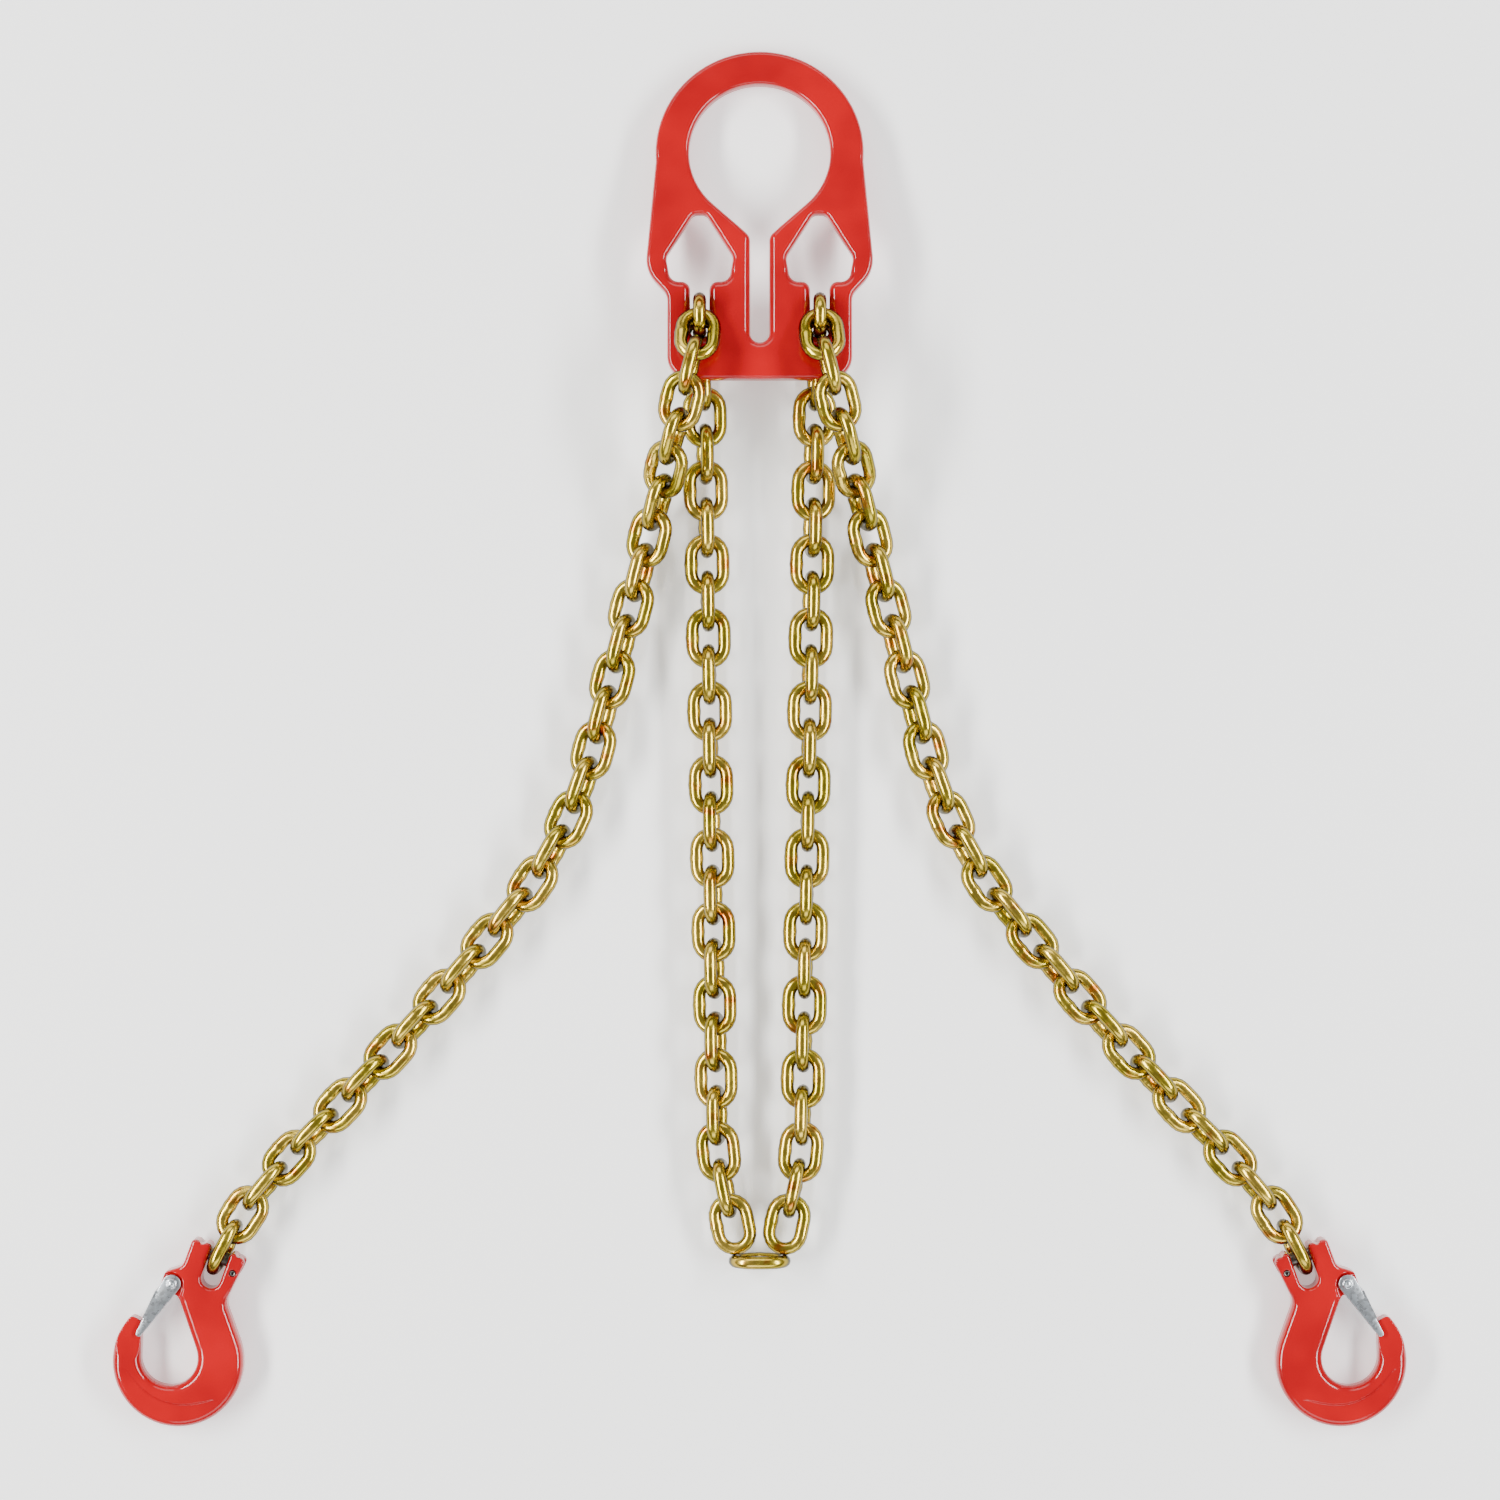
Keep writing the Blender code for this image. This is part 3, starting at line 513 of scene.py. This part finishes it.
def red_enamel(name, body, deep):
    """Baked red enamel over a drop forging: a saturated body under a clear gloss, with the slow waviness of
    the forged skin (about 9 mm) and the orange peel of sprayed paint (drawn at 1.2 mm so that it shows)."""
    gloss_coat = {"Coat_Weight": 0.35, "Coat_Roughness": 0.03, "Coat_IOR": 1.45}
    made, tree, shader, place = started(name, Metallic=0.0, IOR=1.5, Specular_IOR_Level=0.35, **gloss_coat)
    patch = add(tree, NOISE, {"Vector": place, "Scale": lumps(22 * MM)})
    share = add(tree, RANGE, {"Value": patch.outputs[0], "From Min": 0.35, "From Max": 0.65})
    colour = add(tree, MIX, {0: share.outputs[0], 6: linear(body), 7: linear(deep)}, data_type="RGBA")
    tree.links.new(colour.outputs[2], shader.inputs["Base Color"])
    sheen = add(tree, NOISE, {"Vector": place, "Scale": lumps(5 * MM)})
    gloss = {"Value": sheen.outputs[0], "From Min": 0.3, "From Max": 0.7, "To Min": 0.1, "To Max": 0.18}
    tree.links.new(add(tree, RANGE, gloss).outputs[0], shader.inputs["Roughness"])
    wave = add(tree, NOISE, {"Vector": place, "Scale": lumps(9 * MM), "Detail": 1.0})
    skin = add(tree, BUMP, {"Height": wave.outputs[0], "Distance": 0.30 * MM, "Strength": 1.0})
    peel = add(tree, NOISE, {"Vector": place, "Scale": lumps(1.2 * MM), "Detail": 1.0})
    coat = {"Height": peel.outputs[0], "Distance": 0.012 * MM, "Strength": 1.0, "Normal": skin.outputs[0]}
    tree.links.new(add(tree, BUMP, coat).outputs[0], shader.inputs["Normal"])
    return made


def yellow_chromate(name):
    """Yellow-chromated zinc on drawn wire: a thin iridescent film that reads gold, drifts to olive green and
    to orange brown in soft patches, carries painted shade that darkens it to near black olive where the wire
    turns away from the eye, and keeps fine draw marks."""
    made, tree, shader, place = started(name, Metallic=1.0)
    drift = add(tree, NOISE, {"Vector": place, "Scale": lumps(15 * MM), "Detail": 3.0})
    share = add(tree, RANGE, {"Value": drift.outputs[0], "From Min": 0.38, "From Max": 0.62})
    base = add(tree, MIX, {0: share.outputs[0], 6: linear("F2CF5A"), 7: linear("CBB53B")}, data_type="RGBA")
    flush = add(tree, NOISE, {"Vector": place, "Scale": lumps(7 * MM), "Detail": 3.0, "Roughness": 0.6})
    share = add(tree, RANGE, {"Value": flush.outputs[0], "From Min": 0.56, "From Max": 0.70})
    warm = add(tree, MIX, {0: share.outputs[0], 6: base.outputs[2], 7: linear("CF7A2C")}, data_type="RGBA")
    # Painted shade: the colour darkens towards near black olive where the wire turns away from the eye,
    # standing in for the dark sides of the links.
    painted_shade_weight = add(tree, "ShaderNodeLayerWeight", {"Blend": 0.5})
    share = add(tree, RANGE, {"Value": painted_shade_weight.outputs["Facing"], "From Min": 0.06, "From Max": 0.64})
    rim = add(tree, MIX, {0: share.outputs[0], 6: warm.outputs[2], 7: linear("342F04")}, data_type="RGBA")
    tree.links.new(rim.outputs[2], shader.inputs["Base Color"])
    rub = add(tree, NOISE, {"Vector": place, "Scale": lumps(2.5 * MM), "Detail": 3.0})
    gloss = {"Value": rub.outputs[0], "From Min": 0.3, "From Max": 0.7, "To Min": 0.16, "To Max": 0.30}
    tree.links.new(add(tree, RANGE, gloss).outputs[0], shader.inputs["Roughness"])
    wave = add(tree, NOISE, {"Vector": place, "Scale": lumps(4.5 * MM), "Detail": 1.0})
    skin = add(tree, BUMP, {"Height": wave.outputs[0], "Distance": 0.06 * MM, "Strength": 1.0})
    marks = {"Height": rub.outputs[0], "Distance": 0.012 * MM, "Strength": 1.0, "Normal": skin.outputs[0]}
    tree.links.new(add(tree, BUMP, marks).outputs[0], shader.inputs["Normal"])
    return made


def bright_zinc(name):
    """Bright zinc on pressed sheet: cold silver with small mottled crystals about 1.5 mm across."""
    made, tree, shader, place = started(name, Metallic=1.0)
    cells = add(tree, "ShaderNodeTexVoronoi", {"Vector": place, "Scale": 1 / (1.5 * MM)})
    shade = add(tree, "ShaderNodeSeparateColor", {"Color": cells.outputs["Color"]}).outputs[0]
    colour = add(tree, MIX, {0: shade, 6: linear("E2E6E9"), 7: linear("AEB5BB")}, data_type="RGBA")
    tree.links.new(colour.outputs[2], shader.inputs["Base Color"])
    gloss = add(tree, RANGE, {"Value": shade, "To Min": 0.24, "To Max": 0.42})
    tree.links.new(gloss.outputs[0], shader.inputs["Roughness"])
    bloom = add(tree, NOISE, {"Vector": place, "Scale": lumps(1.0 * MM)})
    skin = add(tree, BUMP, {"Height": bloom.outputs[0], "Distance": 0.03 * MM, "Strength": 1.0})
    tree.links.new(skin.outputs[0], shader.inputs["Normal"])
    return made


def plain_steel(name):
    """Turned steel pins and spring wire, oiled: dark grey metal with faint rub marks about 1 mm apart."""
    made, tree, shader, place = started(name, Metallic=1.0)
    rub = add(tree, NOISE, {"Vector": place, "Scale": lumps(1.0 * MM), "Detail": 3.0})
    colour = add(tree, MIX, {0: rub.outputs[0], 6: linear("8E8A84"), 7: linear("55524E")}, data_type="RGBA")
    tree.links.new(colour.outputs[2], shader.inputs["Base Color"])
    gloss = {"Value": rub.outputs[0], "From Min": 0.3, "From Max": 0.7, "To Min": 0.28, "To Max": 0.45}
    tree.links.new(add(tree, RANGE, gloss).outputs[0], shader.inputs["Roughness"])
    skin = add(tree, BUMP, {"Height": rub.outputs[0], "Distance": 0.02 * MM, "Strength": 1.0})
    tree.links.new(skin.outputs[0], shader.inputs["Normal"])
    return made


# Plate.


def eased(value, low, high):
    """0 below low, 1 above high and a smooth S between."""
    share = np.clip((value - low) / (high - low), 0.0, 1.0)
    return share * share * (3.0 - 2.0 * share)


def mirrored(right):
    """Corners down the right side, then the same corners back up the left."""
    return right + [(-x, y, r) for x, y, r in reversed(right)]


def plate_outer():
    """The outer edge: a crown round the eye, sides that lean out to the flare, a waist and a square foot."""
    crown = EYE_RADIUS + BAND
    lean = math.degrees(math.atan2(FLARE_HALF - crown, FLARE_DROP))
    dome = [(x, y, 0.0) for x, y in arc((0.0, 0.0), crown, 90.0, -lean)]
    sides = [
        (FLARE_HALF, -FLARE_DROP - 3.0 * MM, 22.0 * MM),
        (WAIST_HALF, -WAIST_DROP + 4.0 * MM, 11.0 * MM),
        (WAIST_HALF, -PLATE_DROP, CORNER),
    ]
    return rounded(mirrored(dome + sides)[:-1])


def eye_outline():
    """The eye: a circle whose sides run down tangents to the mouth of a straight slot with a round end."""
    mouth = (SLOT_HALF, -MOUTH_DROP)
    touch = tangent_angle(mouth, (0.0, 0.0), EYE_RADIUS, 1)
    eye = [(x, y, 0.0) for x, y in arc((0.0, 0.0), EYE_RADIUS, 180.0 - touch, touch)]
    slot = [(SLOT_HALF, -MOUTH_DROP, 6.2 * MM), (SLOT_HALF, -CENTRE_SLOT_DROP, SLOT_HALF * 0.999)]
    return rounded(eye + mirrored(slot))


def window_outline(side):
    """One window: a gable widening to its waist, a floor that steps in, and a slot with a round end."""
    right = [
        (4.0 * MM, -WINDOW_TOP, 5.0 * MM),
        (WINDOW_HALF, -WINDOW_WAIST + 4.0 * MM, 8.0 * MM),
        (WINDOW_HALF - 3.0 * MM, -WINDOW_FLOOR, 6.5 * MM),
        (SLOT_HALF, -WINDOW_FLOOR, 5.7 * MM),
        (SLOT_HALF, -SLOT_DROP, SLOT_HALF * 0.999),
    ]
    return rounded(mirrored(right)) + [side * SLOT_OUT, 0.0]


def make_plate():
    """The plate: crown, flared sides and a square foot, with the eye, its slot and a window on each side."""
    outer = paced(plate_outer(), 1.6 * MM)
    eye = paced(eye_outline(), 1.4 * MM, hole=True)
    deepen = SLOT_ROLL - PLATE_ROLL
    loops = [(outer, np.full(len(outer), PLATE_ROLL))]
    loops.append((eye, PLATE_ROLL + deepen * eased(-eye[:, 1], MOUTH_DROP - 8 * MM, MOUTH_DROP + 6 * MM)))
    for side in (-1, 1):
        window = paced(window_outline(side), 1.2 * MM, hole=True)
        loops.append((window, PLATE_ROLL + deepen * eased(-window[:, 1], WINDOW_WAIST, WINDOW_FLOOR)))
    points, faces = rolled_blank(loops, PLATE_THICK / 2)
    piece("shortening_plate", (moved(points, plate_matrix()), faces), "red_enamel")


# Hook.


def hook_outline():
    """Ears, waist, bowl and nose in one outline, from the left ear's inner top corner."""
    waist = (14.2 * MM, -25.5 * MM, 12.0 * MM)
    nose_outer = (-40.8 * MM, -55.2 * MM, 3.6 * MM)
    nose_inner = (-33.2 * MM, -56.4 * MM, 3.2 * MM)
    throat = (-16.6 * MM, -32.6 * MM, 3.0 * MM)
    floor = -20.6 * MM
    outer_from = tangent_angle(waist, BOWL_CENTRE, BOWL_OUTER, -1)
    outer_to = tangent_angle(nose_outer, BOWL_CENTRE, BOWL_OUTER, 1) - 360.0
    inner_from = tangent_angle(nose_inner, BOWL_HOLLOW, BOWL_INNER, 1)
    inner_to = 360.0 + tangent_angle(throat, BOWL_HOLLOW, BOWL_INNER, -1)
    outer = [(x, y, 0.0) for x, y in arc(BOWL_CENTRE, BOWL_OUTER, outer_from, outer_to)]
    inner = [(x, y, 0.0) for x, y in arc(BOWL_HOLLOW, BOWL_INNER, inner_from, inner_to)]
    ears = [
        (-EAR_GAP_HALF, EAR_TOP, 2.6 * MM),
        (-EAR_GAP_HALF, floor, EAR_GAP_HALF * 0.98),
        (EAR_GAP_HALF, floor, EAR_GAP_HALF * 0.98),
        (EAR_GAP_HALF, EAR_TOP, 2.6 * MM),
        (EAR_RIGHT, EAR_TOP - 3.0 * MM, 2.8 * MM),
        waist,
    ]
    boss = [
        throat,
        (LATCH_PIVOT[0] - 6.8 * MM, LATCH_PIVOT[1] - 6.6 * MM, 5.5 * MM),
        (LATCH_PIVOT[0] - 6.8 * MM, LATCH_PIVOT[1] + 6.0 * MM, 4.0 * MM),
        (EAR_LEFT, -13.0 * MM, 6.0 * MM),
        (EAR_LEFT, EAR_TOP - 1.0 * MM, 2.8 * MM),
    ]
    return rounded(ears + outer + [nose_outer, nose_inner] + inner + boss)


def hook_roll(loop):
    """How far the edges are rolled, eased from place to place: deep round the bowl, slight at the ears, the
    boss and the nose."""
    x, y = loop.T
    body = eased(-y, 16 * MM, 30 * MM)
    roll = 2.2 * MM + 3.6 * MM * body
    nose = eased(y, -84 * MM, -66 * MM) * eased(-x, 24 * MM, 30 * MM) * eased(-y, 44 * MM, 50 * MM)
    boss = eased(y, -44 * MM, -34 * MM) * eased(-x, 14 * MM, 18 * MM)
    roll = roll + (3.0 * MM - roll) * nose
    return roll + (2.6 * MM - roll) * boss


def bar(size, centre):
    """A square-edged bar."""
    (x, y, z), (a, b, c) = size, centre
    outline = np.array([(x, -y), (x, y), (-x, y), (-x, -y)]) / 2 + [a, b]
    return prism(outline, c - z / 2, c + z / 2)


def bowl_step(face):
    """The cutter for the shallow step under the bowl: deepest along its upper edge, which bows in from the
    rim by a power of a sine, and running out to nothing at the rim. Its four long edges share one angle."""
    n = 60
    angle = np.radians(np.linspace(205.0, 338.0, n))
    ends = np.sin(np.linspace(0.0, np.pi, n)) ** 0.35
    upper = BOWL_OUTER - 4.5 * MM - 11.5 * MM * ends
    rim = np.full(n, BOWL_OUTER - 4.0 * MM)
    edges = [(upper, -1.5 * MM * ends), (rim, 0.1 * MM), (rim, 3.0 * MM), (upper, 3.0 * MM)]
    rays = np.stack([np.cos(angle), np.sin(angle)], -1)
    rings = []
    for reach, rise in edges:
        height = np.broadcast_to(face * (HOOK_THICK / 2 + rise), n)
        rings.append(np.c_[BOWL_CENTRE + rays * reach[:, None], height])
    points = np.stack(rings, 1).reshape(-1, 3)
    last = 4 * n - 1
    return points, grid_faces(n, 4).tolist() + [[0, 1, 2, 3], [last, last - 1, last - 2, last - 3]]


def forged_hook():
    """The hook's body: a rolled blank, thinned at the nose and the boss for the latch, stepped under the bowl
    and bored, then remeshed evenly and relaxed so that every edge has a forging's soft radius."""
    loop = paced(hook_outline(), 1.0 * MM)
    blank = rolled_blank([(loop, hook_roll(loop))], HOOK_THICK / 2)
    pivot_x, pivot_y = LATCH_PIVOT
    steps = []
    low = BOSS_HALF - 0.4 * MM
    for face in (-1, 1):
        step = [
            (NOSE_SLOPE_FOOT, HOOK_THICK / 2 + 0.4 * MM),
            (NOSE_SLOPE_TOP, low),
            (NOSE_CLEAR, low),
            (NOSE_CLEAR, HOOK_THICK),
            (NOSE_SLOPE_FOOT, HOOK_THICK),
        ]
        points, faces = prism(np.array(step), -12 * MM, 12 * MM)
        nose = Vector((NOSE_X, 0, 0))
        upright = placed(Vector((0, 1, 0)), Vector((0, 0, face)), Vector((face, 0, 0)), nose)
        steps.append(("DIFFERENCE", (moved(points, upright), faces)))
        steps.append(("DIFFERENCE", bowl_step(face)))
        lift = face * (BOSS_HALF + HOOK_THICK / 2)
        points, faces = drum(LATCH_ROUND + LATCH_ROOM, HOOK_THICK, LATCH_PIVOT)
        steps.append(("DIFFERENCE", (points + [0, 0, lift], faces)))
        under = (2 * LATCH_ROUND + 2 * LATCH_ROOM, 11.4 * MM, HOOK_THICK)
        steps.append(("DIFFERENCE", bar(under, (pivot_x + 1 * MM, pivot_y - 5.7 * MM, lift))))
    crosswise = Matrix.Rotation(math.radians(90.0), 4, "Y")
    points, faces = drum(LOAD_PIN_RADIUS + PIN_CLEARANCE, 60 * MM)
    steps.append(("DIFFERENCE", (moved(points, crosswise), faces)))
    steps.append(("DIFFERENCE", drum(RETAINER_RADIUS + PIN_CLEARANCE, 40 * MM, RETAINER_PLACE[:2])))
    steps.append(("DIFFERENCE", drum(RIVET_RADIUS + PIN_CLEARANCE, 40 * MM, LATCH_PIVOT)))
    pocket = SPRING_WIRE * SPRING_TURNS + 1.8 * MM
    steps.append(("DIFFERENCE", drum(SPRING_POCKET, pocket, LATCH_PIVOT)))
    steps.append(("DIFFERENCE", bar((20 * MM, 10.6 * MM, pocket), (pivot_x - 10 * MM, pivot_y, 0))))
    for x in ((EAR_LEFT - EAR_GAP_HALF) / 2, (EAR_RIGHT + EAR_GAP_HALF) / 2):
        steps.append(("DIFFERENCE", drum(EAR_NOTCH, 40 * MM, (x, EAR_TOP))))
    return worked(blank, steps, voxel=FORGING_GRID, relax=FORGING_RELAX)


def load_pin_surface():
    """A plain pin with chamfered ends and a waist that the retaining pin crosses."""
    groove = RETAINER_PLACE[0] - PIN_MIDDLE
    half = (EAR_RIGHT - EAR_LEFT) / 2 - 2.4 * MM
    wide = RETAINER_RADIUS + 2 * PIN_CLEARANCE
    r = LOAD_PIN_RADIUS
    profile = [(0, half), (r - 0.8 * MM, half), (r, half - 0.8 * MM), (r, groove + wide + 0.4 * MM)]
    profile += [(GROOVE_RADIUS, groove + wide), (GROOVE_RADIUS, groove - wide), (r, groove - wide - 0.4 * MM)]
    profile += [(r, 0.8 * MM - half), (r - 0.8 * MM, -half), (0, -half)]
    points, faces = turned(profile)
    return moved(points, Matrix.Translation((PIN_MIDDLE, 0, 0)) @ Matrix.Rotation(math.pi / 2, 4, "Y")), faces


def retaining_pin_surface():
    """A rolled sheet pin: a short tube with rounded ends and a dark bore."""
    half = HOOK_THICK / 2 - 0.5 * MM
    r = RETAINER_RADIUS
    bore = 0.55 * r
    profile = [(0, half - 3 * MM), (bore, half - 3 * MM), (bore, half - 0.2 * MM)]
    profile += [(0.7 * r, half), (0.85 * r, half), (r, half - 0.5 * MM)]
    points, faces = turned(profile + [(a, -b) for a, b in reversed(profile)], 24)
    return points + RETAINER_PLACE, faces


def rivet_surface():
    """A shank with a domed, ringed head at each end, outside the latch's cheeks."""
    seat = CHEEK_IN + LATCH_SHEET + 0.3 * MM
    head = np.radians(np.linspace(90.0, 0.0, 7))
    dome = np.stack([RIVET_HEAD * (0.62 + 0.38 * np.cos(head)), seat + 1.3 * MM * np.sin(head)], -1).tolist()
    centre = [(0.0, seat + 1.25 * MM), (1.2 * MM, seat + 1.2 * MM), (1.6 * MM, seat + 0.75 * MM)]
    profile = centre + [(1.9 * MM, seat + 0.75 * MM)] + dome + [(RIVET_RADIUS, seat)]
    points, faces = turned(profile + [(a, -b) for a, b in reversed(profile)])
    return points + [*LATCH_PIVOT, 0.0], faces


def spring_surface():
    """A close coil round the rivet, its height rising evenly with its turn, and one straight leg down."""
    radius = RIVET_RADIUS + 0.5 * MM + SPRING_WIRE
    turn = np.linspace(0.0, 2 * np.pi * SPRING_TURNS, 24 * SPRING_TURNS + 1)
    height = SPRING_WIRE * 1.12 * (turn / (2 * np.pi) - SPRING_TURNS / 2)
    coil = np.stack([-radius * np.cos(turn), -radius * np.sin(turn), height], -1)
    leg = coil[-1] + np.linspace(0.1, 1.0, 4)[:, None] * np.array([-0.6, -4.4, 0.0]) * MM
    path = np.concatenate([coil, leg])
    path = np.concatenate([path[:1], path, path[-1:]])
    path[0, 1] += 0.02 * MM
    path[-1, 1] -= 0.02 * MM
    radii = np.full(len(path), SPRING_WIRE / 2)
    radii[[0, -1]] = 0.0
    points, faces = wire_along(path, radii, 10, closed=False)
    return points + [*LATCH_PIVOT, 0.0], faces


def latch_surface():
    """The latch: two tapered cheeks with softened edges and the web that joins them, pressed from a sheet."""
    round_end = arc((0.0, 0.0), LATCH_ROUND, -8.0, 188.0, 8.0)
    tip = arc((0.0, LATCH_TIP - LATCH_LENGTH), LATCH_TIP, 188.0, 352.0, 12.0)
    outline = paced(np.concatenate([round_end, tip]), 0.9 * MM)
    half = LATCH_SHEET / 2
    points, faces = rolled_blank([(outline, np.full(len(outline), 0.45 * MM))], half, 3)
    shift = np.array([0.0, 0.0, CHEEK_IN + half])
    top = np.array([-LATCH_ROUND + 0.4 * MM, -9.2 * MM])
    low = np.array([-LATCH_TIP - 0.9 * MM, 12.4 * MM - LATCH_LENGTH])
    run = low - top
    length = float(np.linalg.norm(run))
    lean = Matrix.Rotation(math.atan2(run[0], -run[1]), 4, "Z")
    centre = (top + low) / 2
    strip, strip_faces = bar((LATCH_SHEET, length, 2 * (CHEEK_IN + LATCH_SHEET)), (0, 0, 0))
    strip = moved(strip, Matrix.Translation((*centre, 0.0)) @ lean)
    steps = [("UNION", (strip, strip_faces)), ("UNION", (points - shift, faces))]
    steps.append(("DIFFERENCE", drum(RIVET_RADIUS + PIN_CLEARANCE, 40 * MM)))
    points, faces = worked((points + shift, faces), steps)
    turn = Matrix.Translation((*LATCH_PIVOT, 0.0)) @ Matrix.Rotation(math.radians(-LATCH_LEAN), 4, "Z")
    return moved(points, turn), faces


def make_hooks():
    """Both hooks: each part is worked out once in the hook's own frame and carried to each side."""
    parts = [
        ("hook_body", forged_hook(), "red_enamel", None),
        ("load_pin", load_pin_surface(), "plain_steel", 35.0),
        ("retaining_pin", retaining_pin_surface(), "plain_steel", 35.0),
        ("latch_rivet", rivet_surface(), "bright_zinc", 50.0),
        ("latch_spring", spring_surface(), "plain_steel", None),
        ("latch", latch_surface(), "bright_zinc", 40.0),
    ]
    for side, name in ((-1, "left"), (1, "right")):
        place = hook_frame(side)
        for node, (points, faces), finish, sharp in parts:
            piece(f"{name}_{node}", (moved(points, place), faces), finish, sharp)


# Chain.


def links(node, matrices):
    """One node's links: the link surface carried by each matrix."""
    points, faces = LINK
    piece(node, joined([(moved(points, matrix), faces) for matrix in matrices]), "yellow_chromate")


def make_chain(prefix, matrices, singles):
    """The first links one by one, then the rest in runs, as the frame has them."""
    for n in range(singles):
        links(f"{prefix}_link_{n + 1}", matrices[n : n + 1])
    for n, start in enumerate(range(singles, len(matrices), RUN_LINKS), 1):
        links(f"{prefix}_run_{n}", matrices[start : start + RUN_LINKS])


# Studio.


def make_floor():
    """A plain pale floor, wide enough to fill every view, with a little light of its own."""
    surface = prism(np.array([(9.0, -9.0), (9.0, 9.0), (-9.0, 9.0), (-9.0, -9.0)]), -0.01, 0.0)
    floor = bpy.data.objects.new("studio_floor", mesh_of("studio_floor", surface))
    bpy.context.scene.collection.objects.link(floor)
    made, _, shader, _ = started("matt_paper", Roughness=0.95, Emission_Strength=0.5)
    shader.inputs["Base Color"].default_value = linear("F4F4F3")
    floor.data.materials.append(made)


def softbox(name, place, aim, size, power, colour):
    """An area light at place, turned to aim."""
    data = bpy.data.lights.new(name, "AREA")
    data.shape = "RECTANGLE"
    data.size, data.size_y = size
    data.energy = power
    data.color = colour
    light = bpy.data.objects.new(name, data)
    light.location = place
    light.rotation_euler = (Vector(aim) - Vector(place)).to_track_quat("-Z", "Y").to_euler()
    bpy.context.scene.collection.objects.link(light)


def make_studio():
    """A dim even room, a long narrow light on each side, and a wide weak one beyond the head and the foot."""
    world = bpy.data.worlds.new("studio")
    bpy.context.scene.world = world
    world.use_nodes = True
    backdrop = world.node_tree.nodes["Background"]
    backdrop.inputs["Color"].default_value = (0.95, 0.97, 1.0, 1.0)
    backdrop.inputs["Strength"].default_value = 0.24
    softbox("left", (-2.0, 0.0, 1.7), (0, 0, 0), (2.6, 0.4), 135.0, (1.0, 0.99, 0.97))
    softbox("right", (2.0, 0.0, 1.7), (0, 0, 0), (2.6, 0.4), 110.0, (0.98, 0.99, 1.0))
    softbox("head", (-0.3, 2.6, 1.6), (0, 0, 0), (2.6, 1.2), 30.0, (1.0, 0.99, 0.97))
    softbox("foot", (0.3, -2.6, 1.7), (0, 0, 0), (2.6, 1.2), 30.0, (0.98, 0.99, 1.0))


def make_camera():
    """A long lens straight above the sling, square to the floor."""
    data = bpy.data.cameras.new("overhead")
    height, span = 2.8, 0.985
    data.sensor_width = 36.0
    data.lens = data.sensor_width * height / span
    camera = bpy.data.objects.new("overhead", data)
    camera.location = (-6.3 * MM, -7.3 * MM, height)
    bpy.context.scene.collection.objects.link(camera)
    bpy.context.scene.camera = camera


FINISHES = {
    "red_enamel": red_enamel("red_enamel_finish", "AE000D", "9A000B"),
    "yellow_chromate": yellow_chromate("yellow_chromate_finish"),
    "bright_zinc": bright_zinc("bright_zinc_finish"),
    "plain_steel": plain_steel("plain_steel_finish"),
}
LINK = link_surface()

make_plate()
make_hooks()
for side, name in ((-1, "left"), (1, "right")):
    links(f"{name}_slot_link", [seat_matrix(side)])
    make_chain(f"{name}_leg", leg_layout(side)[0], LEG_SINGLES)
    make_chain(f"loop_{name}", loop_layout(side)[0], 1)
links("loop_bottom_link", [bottom_matrix()])
make_floor()
make_studio()
make_camera()
